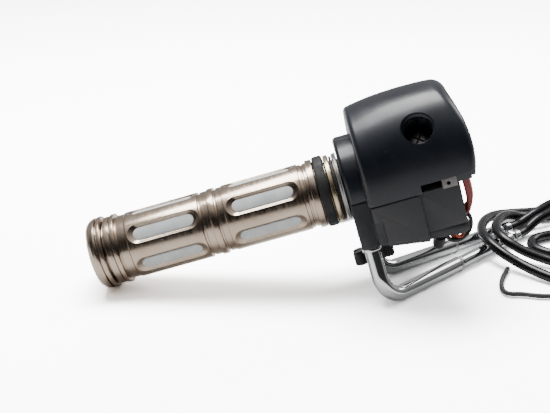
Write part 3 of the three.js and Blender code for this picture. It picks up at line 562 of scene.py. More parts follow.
JACKET_DIAMETER = 5.5
HARNESS_DIAMETER = 6.0
LOOSE_WIRE_DIAMETER = 2.5
COIL_CENTRE = (364, 42)
COIL_COLUMN = {"front": 33.35, "rear": 27.65}
COIL_LAYERS = (8.8, 3.1)
COIL_FROM, COIL_TO = 200, 810
COIL_STEP_DOWN = (485, 530)
LEAD_IN = {
    "front": [(247, 59.2, 8.6), (263, 65.5, 12), (282, 67.5, 13), (302, 64, 12.4), (322, 50, 10.5),
              (328, 42, 9.4)],
    "rear": [(246, 66.5, 8.6), (262, 75.5, 12.6), (284, 78.5, 13.4), (306, 73, 12.4), (324, 58, 10.6),
             (331.5, 48.5, 9.7), (335.9, 40, 9)],
}
JACKET_LOOP = {
    "front": [
        (351, 76.6, 3.1), (338, 80.5, 3.1), (310, 88, 3.1), (275, 87, 3.1), (250, 83, 3.1), (234, 77.5, 4.6),
        (222, 67, 7.6), (212.5, 51, 10.4), (208.3, 37, 10.9), (208.8, 25, 10.8), (213.5, 14.5, 8.6),
        (222, 5, 5.6), (233, -6, 3.6), (244, -15, 3.1), (254, -20.5, 3.1), (266, -22, 3.1),
    ],
    "rear": [
        (352, 70.8, 3.1), (332, 76, 3.1), (310, 80, 3.1), (275, 79, 3.1), (254, 75.5, 3.4), (240, 71.5, 5.2),
        (229.5, 63.5, 9.3), (221, 51, 11.2), (217, 39, 11.2), (219, 28, 9.9), (227, 19.5, 6.8),
        (238, 12, 4.6),
        (252, 3, 3.4), (270, -6, 3.1), (290, -9, 3.1), (308, -2, 3.1), (319, 16, 3.1), (313, 36, 3.1),
        (296, 46.5, 3.1), (272, 49.5, 3.1), (252, 48, 3.1), (240, 42, 3.1), (236.5, 33, 3.1),
        (240.5, 25.5, 3.1), (247, 21, 3.1), (256, 19.5, 3.1),
    ],
}
HARNESS = [
    (173, -18.3, 32.6), (173.2, -16, 28.4), (174.6, -8, 24.2), (177, 3, 21.5), (180.5, 15, 18.5),
    (184, 27, 14.5), (187, 40, 9.2), (189.5, 54, 4.6), (189, 70, 3.4), (183.5, 84, 3.4), (172, 93.5, 3.4),
    (157.5, 96, 3.4), (145, 91, 3.4), (135, 82.5, 3.4), (123.5, 78.5, 3.4), (110.5, 79.5, 3.4),
    (99.5, 85.5, 3.4), (88, 91, 3.4), (75, 92.5, 3.4), (61, 92.5, 3.4),
]
LOOSE_WIRE = [
    (216.4, 7.6, 1.6), (211, -3.5, 1.6), (208, -12.4, 1.6), (207.5, -19.5, 1.6), (209.4, -22.8, 1.6),
    (214.4, -22.6, 1.6), (225.1, -25.5, 1.6), (236, -26.5, 1.6), (254, -34, 1.6), (280, -39, 1.6),
    (310, -38, 1.6), (338, -33, 1.6), (356, -24, 1.6), (366, -17, 1.6),
]


def coil_turns(column):
    """The turns on the coil: round the upper layer, down, and on round the lower one."""
    turns = []
    for angle in range(COIL_FROM, COIL_TO + 1, 12):
        share = min(1, max(0, (angle - COIL_STEP_DOWN[0]) / (COIL_STEP_DOWN[1] - COIL_STEP_DOWN[0])))
        smooth = share * share * (3 - 2 * share)
        height = COIL_LAYERS[0] + (COIL_LAYERS[1] - COIL_LAYERS[0]) * smooth
        around = math.radians(angle)
        x = COIL_CENTRE[0] + column * math.cos(around)
        y = COIL_CENTRE[1] + column * math.sin(around)
        turns.append((x, y, height))
    return turns


def lay_cord(name, points, diameter, material, slot, replaced, with_pieces):
    """A free cord. with_pieces, the objects on its far end, is not used."""
    path = spline(points, spacing=1.6, smoothing=3)
    sides = 18 if diameter > 4 else 12
    piece = tube(name, path, diameter / 2, sides)
    place(piece, TABLE, "housing", slot, material, replaced, sharp=60)
    return piece


def lay_jackets(materials):
    for name, cable in CABLES.items():
        end_pieces = build_cable_end(name, materials)
        _, _, corner, heading = cable_layout(cable)
        reach = cable["leg"] + cable["adjuster"]
        start = [tuple(corner + heading * (reach + step)) for step in (0, 8.5)]
        points = start + LEAD_IN[name] + coil_turns(COIL_COLUMN[name]) + JACKET_LOOP[name]
        lay_cord(
            f"{name}_cable_jacket",
            points,
            JACKET_DIAMETER,
            materials["jacket"],
            "black_jacket",
            [f"{name}_jacket_lead", f"{name}_jacket_loop"] + (["jacket_coil"] if name == "front" else []),
            end_pieces,
        )


def lay_harness(materials):
    lay_cord(
        "harness_cord", HARNESS, HARNESS_DIAMETER, materials["sheath"], "harness_sheath",
        ["harness"], build_connector(materials),
    )
    lay_cord(
        "loose_wire_cord", LOOSE_WIRE[::-1], LOOSE_WIRE_DIAMETER, materials["loose"],
        "harness_sheath", ["loose_wire"], [build_wire_tip(materials)],
    )


# ---- floor and light ----


def make_floor():
    """White paper, lighter when seen directly than in reflections, like an overexposed product shot."""
    bpy.ops.mesh.primitive_plane_add(size=6, location=(0, 0, -0.0002))
    floor = bpy.context.object
    floor.name = "floor"
    m = Nodes("floor_paper", (0.8, 0.8, 0.8), roughness=0.6)
    m.vary_colour(m.noise(6, detail=3.0), (0.84, 0.84, 0.835))
    bright = m.add("ShaderNodeBsdfDiffuse", Color=(5.6, 5.6, 5.6, 1))
    ray = m.add("ShaderNodeLightPath")
    blend = m.add("ShaderNodeMixShader")
    m.tree.links.new(ray.outputs["Is Camera Ray"], blend.inputs[0])
    m.tree.links.new(m.shader.outputs[0], blend.inputs[1])
    m.tree.links.new(bright.outputs[0], blend.inputs[2])
    m.tree.links.new(blend.outputs[0], m.tree.nodes["Material Output"].inputs["Surface"])
    floor.data.materials.append(m.material)


def add_lamp(name, position, aim, size, power):
    data = bpy.data.lights.new(name, "AREA")
    data.shape = "RECTANGLE"
    data.size, data.size_y = size
    data.energy = power
    lamp = bpy.data.objects.new(name, data)
    bpy.context.scene.collection.objects.link(lamp)
    lamp.location = position
    lamp.rotation_euler = (Vector(aim) - Vector(position)).to_track_quat("-Z", "Y").to_euler()


def brightness_ramp(nodes, links, source, stops):
    ramp = nodes.new("ShaderNodeValToRGB")
    while len(ramp.color_ramp.elements) < len(stops):
        ramp.color_ramp.elements.new(0.5)
    for element, (position, value) in zip(ramp.color_ramp.elements, stops):
        element.position = position
        element.color = (value, value, value, 1)
    links.new(source, ramp.inputs["Fac"])
    return ramp.outputs["Color"]


def map_range(nodes, links, source, low, high):
    node = nodes.new("ShaderNodeMapRange")
    node.inputs["From Min"].default_value = low
    node.inputs["From Max"].default_value = high
    links.new(source, node.inputs["Value"])
    return node.outputs["Result"]


def make_studio():
    """A white sweep behind, a wide soft light overhead, and a dark room in front."""
    make_floor()
    add_lamp("overhead", (-0.15, 0.26, 0.95), (0, 0.02, 0.03), (0.75, 0.42), 17)
    add_lamp("back_right", (0.8, 0.55, 0.6), (0.05, 0, 0.03), (0.4, 0.5), 3)
    world = bpy.data.worlds.new("studio")
    bpy.context.scene.world = world
    world.use_nodes = True
    nodes, links = world.node_tree.nodes, world.node_tree.links
    seen = nodes["Background"]
    seen.inputs["Color"].default_value = (1, 1, 1, 1)
    seen.inputs["Strength"].default_value = 2
    split = nodes.new("ShaderNodeSeparateXYZ")
    links.new(nodes.new("ShaderNodeTexCoord").outputs["Generated"], split.inputs[0])
    height = map_range(nodes, links, split.outputs["Z"], -1, 1)
    front = [(0, 0.3), (0.49, 0.25), (0.53, 0.04), (0.76, 0.025), (0.86, 0.2), (0.94, 0.85), (1, 1)]
    back = [(0, 0.5), (0.5, 0.5), (0.6, 0.55), (0.8, 0.6), (1, 1)]
    sides = nodes.new("ShaderNodeMix")
    sides.data_type = "RGBA"
    links.new(map_range(nodes, links, split.outputs["Y"], -0.2, 0.45), sides.inputs[0])
    links.new(brightness_ramp(nodes, links, height, front), sides.inputs[6])
    links.new(brightness_ramp(nodes, links, height, back), sides.inputs[7])
    lit = nodes.new("ShaderNodeBackground")
    links.new(sides.outputs[2], lit.inputs["Color"])
    lit.inputs["Strength"].default_value = 0.75
    ray = nodes.new("ShaderNodeLightPath")
    blend = nodes.new("ShaderNodeMixShader")
    links.new(ray.outputs["Is Camera Ray"], blend.inputs["Fac"])
    links.new(lit.outputs[0], blend.inputs[1])
    links.new(seen.outputs[0], blend.inputs[2])
    links.new(blend.outputs[0], nodes["World Output"].inputs["Surface"])


# ---- grip ----

WINDOW_CENTRES = (38.2, 90)
WINDOW_COUNT = 6
WINDOW_FIRST = math.radians(-18.5)


def stadium(half_length, half_width):
    straight = half_length - half_width
    steps = 10
    points = []
    for centre, start in ((straight, -90), (-straight, 90)):
        for k in range(steps + 1):
            angle = math.radians(start + 180 * k / steps)
            points.append((centre + half_width * math.cos(angle), half_width * math.sin(angle)))
    return points


def window_solid(centre, angle, layers):
    """A stadium block wrapped round the bar, from layers of (half length, half width, radius), inside out."""
    rings = []
    for half_length, half_width, radius in layers:
        ring = []
        for u, v in stadium(half_length, half_width):
            turn = angle + v / 16.6
            ring.append((centre + u, -radius * math.cos(turn), radius * math.sin(turn)))
        rings.append(ring)
    return loft("window", rings)


def window_angles():
    return [WINDOW_FIRST + 2 * math.pi * i / WINDOW_COUNT for i in range(WINDOW_COUNT)]


def all_windows(layers):
    parts = [window_solid(centre, angle, layers) for centre in WINDOW_CENTRES for angle in window_angles()]
    return merge_meshes("windows", parts)


def build_grip(materials):
    nickel, rubber = materials["nickel"], materials["rubber"]
    cap = lathe("end_cap_turned", [
        (-2.4, 0), (-2.4, 11.8), (-2.05, 12), (-2.05, 12.5), (-2.4, 12.7), (-2.4, 14.5), (-1.9, 16.2),
        (-0.9, 17.3), (0.3, 18.1), (2, CAP_RADIUS), (3.1, CAP_RADIUS), (3.2, 17.3), (4, 17.3), (4.1, 18.8),
        (5.6, 18.8), (6, 18.3), (6, 15.3), (12.4, 15.3), (12.4, 12), (10, 12), (10, 0),
    ], segments=192)
    place(cap, BAR, "throttle", "satin_nickel", nickel, ["end_cap"])
    sleeve = lathe("grip_sleeve_turned", [
        (6.5, 16), (7.3, 16), (7.4, 17.6), (10.4, 17.6), (10.6, 16.9), (11, 16.9), (11.1, 18.2), (13, 18.2),
        (13.2, 15.95), (14.3, 15.95), (14.4, 16.6), (18.4, 16.6), (18.9, 17.1), (57.2, 17.1), (57.5, 15.95),
        (58.6, 15.95), (58.8, 16.6), (62.3, 16.6), (62.5, 17.3), (65.5, 17.3), (65.7, 15.95), (66.8, 15.95),
        (67, 16.6), (70, 16.6), (70.2, 17.1), (110, 17.1), (110.2, 16.5), (111.8, 16.5), (111.9, 15.95),
        (112.8, 15.95), (112.9, 16.5), (114.4, 16.5), (114.5, 17.6), (117.7, 17.6), (118, 16), (123.7, 16),
        (123.7, 14.6), (113.4, 14.6), (113.4, 15.6), (6.5, 15.6),
    ], segments=192, round_by=0.16)
    cut(sleeve, all_windows([
        (16, 3.5, 14.8), (16, 3.5, 15.75), (16.25, 3.62, 15.85), (18.15, 4.6, 16.8), (18.4, 4.72, 16.95),
        (18.75, 4.86, 17.08), (19.2, 5.05, 17.3), (19.6, 5.3, 19.5),
    ]))
    place(sleeve, BAR, "throttle", "satin_nickel", nickel, ["grip_sleeve"], sharp=24)
    liner = lathe("inlay_liner", [(13, 14.6), (113, 14.6), (113, 15.3), (13, 15.3)])
    lands = all_windows([
        (15.8, 3.3, 15.2), (15.85, 3.35, 15.8), (15.7, 3.2, 15.96), (15.3, 2.8, 16), (14, 1.5, 16),
        (12.7, 0.2, 16),
    ])
    lands.name = "inlay_lands"
    place(liner, BAR, "throttle", "frosted_inlay", materials["inlay"], ["inlay_sleeve"])
    place(lands, BAR, "throttle", "frosted_inlay", materials["inlay"])
    band = lathe("o_ring_band", [
        (118.3, 16.3), (123.5, 16.3), (123.5, 17.6), (122.9, 18.15), (121.6, 18.32), (120.2, 18.32),
        (118.9, 18.15), (118.3, 17.6),
    ], round_by=0.4)
    place(band, BAR, "throttle", "black_rubber", rubber, ["o_ring"])
    collar = lathe("clamp_ring_turned", [
        (124, 14.6), (126.5, 14.6), (126.5, 17.1), (126.1, 17.6), (124.4, 17.6), (124, 17.1),
    ])
    place(collar, BAR, "throttle", "bronze_ring", materials["bronze"], ["clamp_ring"])
    washer = lathe("thrust_washer_ring", [(126.8, 14.6), (128, 14.6), (128, 16.5), (126.8, 16.5)])
    place(washer, BAR, "throttle", "black_rubber", rubber, ["thrust_washer"])
    nut = lathe("flange_nut_turned", [
        (128.3, 14.6), (130.6, 14.6), (130.6, 17.4), (130.2, 17.9), (129.6, 17.3), (129.2, 17.9),
        (128.7, 17.4), (128.3, 17),
    ], round_by=0.12)
    place(nut, BAR, "throttle", "steel_fittings", materials["steel"], ["flange_nut"])
    build_throttle_tube(materials)


def drum_point(angle, radius, s):
    return Vector((s, -radius * math.cos(angle), radius * math.sin(angle)))


def build_throttle_tube(materials):
    left, right, groove = 133, 138.4, 0.8
    body = lathe("throttle_tube_moulded", [
        (13, 12.95), (149, 12.95), (149, 13.3), (right, 13.3), (right, 18.4), (CABLE_S + groove, 18.4),
        (CABLE_S + groove, 15), (CABLE_S - groove, 15), (CABLE_S - groove, 18.4), (left, 18.4),
        (left, 14.3), (13, 14.3),
    ], round_by=0.2)
    for name, degrees in (("pull", 45), ("return", 85)):
        angle = math.radians(degrees)
        cut(body, rod("pocket", drum_point(angle, 16.1, left - 1), drum_point(angle, 16.1, right + 1), 2.2))
        nipple = lathe(f"{name}_drum_nipple_turned", [(0, 0), (0, 1.85), (5, 1.85), (5, 0)], 48, round_by=0.3)
        moved(nipple, Matrix.Translation(drum_point(angle, 16.1, left + 0.2)))
        place(nipple, BAR, "throttle", "brass_nipples", materials["brass"], [f"{name}_drum_nipple"])
    place(body, BAR, "throttle", "black_tube", materials["tube"], ["throttle_tube"])


# ---- housing ----

SHELL_DEPTH = 34.0
ARCH_POWER = 0.93
LEFT_FILLET, RIGHT_FILLET = 2.6, 5.0
SPLIT = 0.2
HOLE = {"s": 171.5, "y": -23.2, "z": 27.7, "radius": 7.0, "depth": 14.0}
ROCKER = {"s": 171.5, "y": 23.2, "z": 27.7, "length": 15.0, "width": 9.0}
SCREW = {"s": 154.0, "y": 24.0}
BUTTON = {"s": 169.0, "z": -10.0, "radius": 5.2, "proud": 2.6, "face": 31.0}


SHELL_RIGHT = [
    (0, 193), (4.5, 193.9), (8, 194.6), (14, 195.2), (20, 195.1), (27, 194.2), (33, 192.4), (39, 190),
    (45, 186),
]
SHELL_TOP = [
    (139, 37.4), (143, 38.3), (150, 39.7), (157, 40.6), (163.5, 41), (172, 41.2), (180, 41), (190, 40.2),
]


def shell_left(z):
    return 139.3 + 0.036 * max(z - 5, 0)


def shell_right(z):
    return float(np.interp(z, [height for height, _ in SHELL_RIGHT], [at for _, at in SHELL_RIGHT]))


def shell_height(s):
    return float(np.interp(s, [at for at, _ in SHELL_TOP], [height for _, height in SHELL_TOP]))


def shell_solid(name, inset):
    """The upper shell's outer form: an arch along the bar whose ends are rounded over."""
    stations = []
    for factor in (0.0, 0.3, 0.6, 0.85):
        stations.append(("left", 0.0, LEFT_FILLET, factor))
    for k in range(7):
        turn = math.radians(90 * k / 6)
        offset, drop = LEFT_FILLET * (1 - math.cos(turn)), LEFT_FILLET * (1 - math.sin(turn))
        stations.append(("left", offset, drop, 1))
    for k in range(1, 20):
        stations.append(("middle", k / 20, 0, 1))
    for k in range(9):
        turn = math.radians(90 * (8 - k) / 8)
        offset, drop = RIGHT_FILLET * (1 - math.cos(turn)), RIGHT_FILLET * (1 - math.sin(turn))
        stations.append(("right", offset, drop, 1))
    for factor in (0.85, 0.6, 0.3, 0.0):
        stations.append(("right", 0.0, RIGHT_FILLET, factor))
    steps = 72
    rows = []
    for kind, offset, drop, factor in stations:
        row = []
        for i in range(steps + 1):
            angle = math.pi * i / steps
            arch_y = math.copysign(abs(math.cos(angle)) ** ARCH_POWER, math.cos(angle))
            arch_z = abs(math.sin(angle)) ** ARCH_POWER
            guess = {"left": 145, "right": 186}.get(kind, 145 + 41 * offset)
            height = (shell_height(guess) - inset - drop - SPLIT) * factor
            y = arch_y * (SHELL_DEPTH - inset - drop) * factor
            z = SPLIT + arch_z * height
            left, right = shell_left(z) + inset, shell_right(z) - inset
            if kind == "left":
                s = left + offset
            elif kind == "right":
                s = right - offset
            else:
                start, end = left + LEFT_FILLET, right - RIGHT_FILLET
                s = start + (end - start) * offset
            row.append((s, y, z))
        rows.append(row)
    verts = [p for row in rows for p in row]
    count = steps + 1
    faces = []
    for j in range(len(rows) - 1):
        for i in range(steps):
            corner = j * count + i
            faces.append([corner, corner + 1, corner + count + 1, corner + count])
    edge = [j * count for j in range(len(rows))]
    faces.append(edge + [j * count + steps for j in reversed(range(len(rows)))])
    obj = new_object(name, verts, faces)
    bm = bmesh.new()
    bm.from_mesh(obj.data)
    bmesh.ops.remove_doubles(bm, verts=bm.verts, dist=1e-4)
    bmesh.ops.recalc_face_normals(bm, faces=bm.faces)
    bm.to_mesh(obj.data)
    bm.free()
    return obj


def radial_point(where, height):
    reach = math.hypot(where["y"], where["z"])
    factor = (reach + height) / reach
    return Vector((where["s"], where["y"] * factor, where["z"] * factor))


def hole_cup(radius, start, end):
    return rod("cup", radial_point(HOLE, start), radial_point(HOLE, end), radius, 72)


def drum_room():
    return lathe("room", [
        (130, 0), (130, 14.8), (132.6, 14.8), (132.6, 19.5), (139.2, 19.5), (139.2, 13.7), (150, 13.7),
        (150, 0),
    ], 96, round_by=0)


def bar_room():
    return lathe("bore", [(145, 0), (145, 13.3), (199, 13.3), (199, 0)], 96, round_by=0)


def rocker_block(name, length, width, start, end, bevel=0.0):
    layers = [(0, start), (0, end - bevel)]
    if bevel:
        for k in range(1, 5):
            turn = math.radians(90 * k / 4)
            layers.append((bevel * (1 - math.cos(turn)), end - bevel * (1 - math.sin(turn))))
    rings = []
    for inset, height in layers:
        rings.append([(u, v, height) for u, v in stadium(length / 2 - inset, width / 2 - inset)])
    obj = loft(name, rings)
    reach = math.hypot(ROCKER["y"], ROCKER["z"])
    tilt = Matrix.Rotation(-math.atan2(ROCKER["y"], ROCKER["z"]), 4, "X")
    return moved(obj, Matrix.Translation((ROCKER["s"], 0, 0)) @ tilt @ Matrix.Translation((0, 0, reach)))


def screw_post(y_side, low, high):
    y = y_side * SCREW["y"]
    return rod("post", (SCREW["s"], y, low), (SCREW["s"], y, high), 4.4)


def build_upper_shell(materials):
    shell = shell_solid("upper_shell_cast", 0)
    collar = lathe("collar", [
        (131, 0), (131, 23.4), (131.5, 24.3), (132.5, 25), (146, 25), (146, 0),
    ], 120, round_by=0.8)
    keep_inside(collar, block("half", (120, 150), (-40, 40), (SPLIT, 60)))
    hollow = shell_solid("hollow", 3.0)
    cut(hollow, block("keep", (130, 150), (-60, 60), (-5, 60)))
    cut(shell, hollow)
    join(shell, collar)
    cup = hole_cup(8.8, -17, -0.6)
    keep_inside(cup, shell_solid("limit", 0.4))
    join(shell, cup, *[screw_post(side, SPLIT, 24) for side in (-1, 1)])
    cut(shell, drum_room(), bar_room())
    well = lathe("well", [
        (-20, 0), (-20, 2.8), (-HOLE["depth"], 2.8), (-HOLE["depth"], HOLE["radius"]), (0.6, HOLE["radius"]),
        (1.1, 7.15), (1.6, 7.5), (2.2, 8.2), (8, 9), (8, 0),
    ], 96, round_by=0)
    mouth = radial_point(HOLE, 0)
    cut(shell, moved(well, axis_frame(mouth, radial_point(HOLE, 1) - mouth)))
    strip = block("strip", (182, 190.8), (-32.2, -29.4), (0.4, 7), bevel=0.3)
    cut(
        shell,
        block("notch", (165.7, 183.8), (-40, -24), (-1, 4.5)),
        block("notch", (183.6, 197), (-40, -29), (-1, 4.5)),
        block("notch", (183.6, 197), (-30, -18.6), (-1, 0.4)),
    )
    join(shell, strip)
    cut(shell, rocker_block("window", ROCKER["length"] + 1.4, ROCKER["width"] + 2.4, -9, 6))
    place(shell, BAR, "housing", "gloss_black_shell", materials["gloss_black"], ["upper_shell"], sharp=28)


def lower_block(name, depth, ends, bottoms, corner, bevel):
    """A block under the split line, with rounded lower edges. Its underside may slope along the bar."""
    rings = []
    for s, bottom in zip(ends, bottoms):
        square = [(-depth, -SPLIT), (-depth, bottom), (depth, bottom), (depth, -SPLIT)]
        rings.append([(s, y, z) for y, z in soften(square, corner, steps=8)])
    obj = loft(name, rings)
    round_edges(obj, bevel)
    return obj


def build_lower_shell(materials):
    bottom, step_bottom = -23.5, -27.5
    main = lower_block("lower_shell_cast", 34, (140.2, 164.5), (bottom, step_bottom), 4.5, 0.9)
    cut(main, block("ledge", (130, 144.3), (-40, -29.6), (-30, -8.5), bevel=0.8))
    right = lower_block("right", 31, (160, 184.5), (-23.5, -23.5), 3.2, 0.8)
    boss = prism("boss", soften([
        (-25, -SPLIT), (-29.6, bottom), (16, bottom), (25, -12), (25, -SPLIT),
    ], 2.5, closed=False, steps=6), across_bar, 131, 144.3, bevel=0.8)
    lip = lathe("lip", [(0, 0), (0, 4.6), (19.6, 4.6), (21.8, 3.1), (21.8, 0)], 64, round_by=1.6)
    moved(lip, axis_frame((163.5, -23.5, -25), (19.5, 0, -2)))
    join(main, right, boss, lip)
    sockets = []
    for cable in CABLES.values():
        side, end = cable["side"], cable["socket_end"]
        outline = [(0, 0), (0, 6.4), (end - 12, 6.4), (end - 12, 0)]
        socket = lathe("socket", outline, 72, round_by=0.7)
        start = cable_line(side, 12)
        sockets.append(moved(socket, axis_frame(start, cable_line(side, end) - start)))
    join(main, *sockets)
    keep_inside(main, block("half", (131, 200), (-60, 60), (-60, -SPLIT)))
    right_hollow = block("hollow", (160, 181), (-28, 28), (-17.5, 1))
    cut(main, right_hollow, block("hollow", (150, 161), (-29, 29), (-20, 1)))
    join(main, *[screw_post(side, -21, -SPLIT) for side in (-1, 1)])
    cut(main, drum_room(), bar_room())
    for cable in CABLES.values():
        start, end = cable_line(cable["side"], 8), cable_line(cable["side"], 40)
        cut(main, rod("hole", start, end, ELBOW_RADIUS + 0.25, 64))
    for side in (-1, 1):
        y = side * SCREW["y"]
        cut(main, rod("screw", (SCREW["s"], y, -30), (SCREW["s"], y, 2), 2.3))
        cut(main, rod("seat", (SCREW["s"], y, -30), (SCREW["s"], y, -20), 3.8))
    s, z = BUTTON["s"], BUTTON["z"]
    cut(main, rod("button", (s, 20, z), (s, 40, z), BUTTON["radius"] + 0.3, 64))
    cut(main, block("wires", (173, 179), (-26.5, -20.5), (-34, -16), bevel=1.0))
    cut(main, block("slot", (180, 186), (-29.2, -18.4), (-21.6, -15.5), bevel=0.6))
    cut(main, rod("pad", cable_line(0, 12), cable_line(0, 22), 4.6))
    cut(main, rod("shaft", cable_line(0, 12), cable_line(0, 40), 3.3))
    place(main, BAR, "housing", "satin_black_shell", materials["satin_black"], ["lower_shell"], sharp=28)


def cross_recess(start, direction, width, depth):
    """A tapered cross-shaped driver recess."""
    arms = []
    for quarter in (0, 90):
        outline = [(-width, -0.45), (width, -0.45), (width, 0.45), (-width, 0.45)]
        taper = [(-width * 0.35, -0.3), (width * 0.35, -0.3), (width * 0.35, 0.3), (-width * 0.35, 0.3)]
        rings = [[(-depth, u, v) for u, v in taper], [(0.5, u, v) for u, v in outline]]
        arm = loft("arm", rings)
        moved(arm, Matrix.Rotation(math.radians(quarter), 4, "X"))
        arms.append(moved(arm, axis_frame(start, direction)))
    return arms


def pan_screw(name, foot, seat, shaft, head, head_height, material, node):
    foot, seat = Vector(foot), Vector(seat)
    length = (seat - foot).length
    outline = [(0, 0), (0, shaft * 0.7), (0.6, shaft), (length, shaft), (length, head)]
    outline.append((length + head_height * 0.45, head))
    for k in range(1, 7):
        turn = math.radians(90 * k / 6)
        rise = head_height * (0.45 + 0.55 * math.sin(turn))
        outline.append((length + rise, head * math.cos(turn) if k < 6 else 0))
    body = moved(lathe(name, outline, 64, round_by=0.15), axis_frame(foot, seat - foot))
    along = (seat - foot).normalized()
    cut(body, *cross_recess(seat + along * head_height, along, head * 0.55, head_height * 0.6))
    place(body, BAR, "housing", "steel_fittings", material, [node])


def build_hardware(materials):
    for name, side in (("front", -1), ("rear", 1)):
        y = side * SCREW["y"]
        foot, seat = (SCREW["s"], y, 15), (SCREW["s"], y, -20.3)
        node = f"housing_screw_{name}"
        pan_screw(f"{node}_pan", foot, seat, 2, 3.4, 2.6, materials["steel"], node)
    seat = radial_point(HOLE, -HOLE["depth"] + 0.3)
    foot = radial_point(HOLE, -19)
    pan_screw("recessed_screw_pan", foot, seat, 2.4, 6.2, 5.2, materials["dark_steel"], "recessed_screw")
    plate = block("contact_plate_stamped", (176, 183.4), (-32.3, -31.3), (-1.2, 4.2), bevel=0.25)
    join(plate, block("flange", (177, 182.4), (-32.2, -24.4), (3.2, 4.2), bevel=0.2))
    cut(plate, rod("hole", (179.2, -34, 1.3), (179.2, -30, 1.3), 1))
    place(plate, BAR, "housing", "steel_fittings", materials["dark_steel"], ["contact_plate"])


def build_switches(materials):
    cap = rocker_block("stop_rocker_cap", ROCKER["length"], ROCKER["width"], -4, 2.4, bevel=0.9)
    out = Vector((0, ROCKER["y"], ROCKER["z"])).normalized()
    centre = Vector((ROCKER["s"], 0, 0)) + out * (math.hypot(ROCKER["y"], ROCKER["z"]) + 14.2)
    for end in (-1, 1):
        middle = centre + Vector((end * 3.6, 0, 0))
        across = Vector((0, out.z, -out.y))
        cut(cap, rod("dish", middle - across * 12, middle + across * 12, 12.6, 96))
    place(cap, BAR, "stop_key", "gloss_black_shell", materials["gloss_black"], ["stop_rocker"])
    module = rocker_block("stop_switch_module", 13, 7, -13, -5.4, bevel=0.5)
    place(module, BAR, "housing", "satin_black_shell", materials["connector"], ["stop_switch"])
    face, proud, radius = BUTTON["face"], BUTTON["proud"], BUTTON["radius"]
    button = lathe("start_button_cap", [
        (0, 0), (0, radius), (4.4 + proud, radius), (4.4 + proud - 0.35, radius * 0.62),
        (4.4 + proud - 0.5, 0),
    ], 96, round_by=0.7)
    start = Vector((BUTTON["s"], face - 4.4, BUTTON["z"]))
    place(moved(button, axis_frame(start, (0, 1, 0))), BAR, "start_key", "gloss_black_shell",
          materials["gloss_black"], ["start_button"])
    module = block("start_switch_module", (163.5, 174.5), (17, face - 8), (-15.5, -5), bevel=0.6)
    place(module, BAR, "housing", "satin_black_shell", materials["connector"], ["start_switch"])


KNOB_RADIUS = 11.0


def star_outline(lobes, inner, outer):
    outline = []
    steps = 120
    for k in range(steps):
        angle = 2 * math.pi * k / steps
        lobe = math.tanh(2.2 * math.cos(lobes * angle)) / math.tanh(2.2)
        radius = inner + (outer - inner) * (0.5 + 0.5 * lobe)
        outline.append((radius * math.cos(angle), radius * math.sin(angle)))
    return outline


def build_friction_screw(materials):
    top, bottom, round_by = 34, 41, 1.2
    star = star_outline(5, 6.45, KNOB_RADIUS)
    rings = []
    for low, flip in ((top, 1), (bottom - round_by, -1)):
        for k in range(6):
            turn = math.radians(90 * k / 5)
            inset = round_by * (1 - math.sin(turn)) if flip > 0 else round_by * (1 - math.cos(turn))
            level = low + round_by * (1 - math.cos(turn)) if flip > 0 else low + round_by * math.sin(turn)
            scale = 1 - inset / KNOB_RADIUS
            rings.append([(level, u * scale, v * scale) for u, v in star])
    knob = loft("friction_knob_star", rings)
    shaft = lathe("shaft", [
        (21.4, 0), (21.4, 2.2), (22, 2.8), (33.4, 2.8), (33.6, 4.2), (34.5, 4.2), (34.5, 0),
    ], 64, round_by=0.2)
    boss = lathe("boss", [
        (40.5, 0), (40.5, 4.4), (41.1, 4.4), (41.1, 3.2), (40.7, 2.9), (40.7, 0),
    ], 64, round_by=0.2)
    join(knob, shaft, boss)
    direction = cable_line(0, 1) - cable_line(0, 0)
    where = axis_frame(cable_line(0, 0), direction)
    place(moved(knob, where), BAR, "friction_screw", "black_rubber", materials["knob"], ["friction_knob"])
    pad = lathe("friction_pad_disc", [(18.75, 0), (18.75, 4.2), (21.1, 4.2), (21.1, 0)], 64, round_by=0.3)
    place(moved(pad, where), BAR, "housing", "brass_nipples", materials["brass"], ["friction_pad"])
    helix = []
    for k in range(4 * 36 + 1):
        angle = 2 * math.pi * k / 36
        helix.append((26.25 + 6.3 * k / 144, 4.1 * math.cos(angle), 4.1 * math.sin(angle)))
    coil = tube("friction_spring_wire", helix, 0.55, 12)
    place(moved(coil, where), BAR, "housing", "steel_fittings", materials["steel"], ["friction_spring"])


def build_lead_wires(materials):
    face = 184.5
    wires = [
        ("maroon", 1.1, -27.6, 3),
        ("red", 1.1, -25.1, 4.5),
        ("orange", 1.1, -22.6, 5.4),
        ("tan", 1.0, -20.2, 5.4),
    ]
    for name, radius, y, bulge in wires:
        route = [
            (face + 1.7, y, 8), (face + 0.5 * bulge, y, 4.4), (face + 0.9 * bulge, y, -1.5),
            (face + bulge, y, -8), (face + 0.9 * bulge, y, -14), (face + 0.45 * bulge, y, -18.2),
            (face - 2, y, -19.2),
        ]
        wire = tube(f"lead_wire_{name}_bent", spline(route, 0.5, smoothing=4), radius, 20)
        place(wire, BAR, "housing", f"{name}_wire", materials[name], [f"lead_wire_{name}"], sharp=60)


# ---- elbows, adjusters and cable ends ----


def elbow_path(top, corner, end):
    up, out = (top - corner).normalized(), (end - corner).normalized()
    half = up.angle(out) / 2
    trim = ELBOW_BEND / math.tan(half)
    centre = corner + (up + out).normalized() * (ELBOW_BEND / math.sin(half))
    first, last = corner + up * trim - centre, corner + out * trim - centre
    sweep = first.angle(last)
    path = [top.lerp(centre + first, k / 20) for k in range(20)]
    for k in range(25):
        t = k / 24
        a, b = math.sin((1 - t) * sweep) / math.sin(sweep), math.sin(t * sweep) / math.sin(sweep)
        path.append(centre + first * a + last * b)
    path += [(centre + last).lerp(end, k / 30) for k in range(1, 31)]
    return [tuple(p) for p in path]


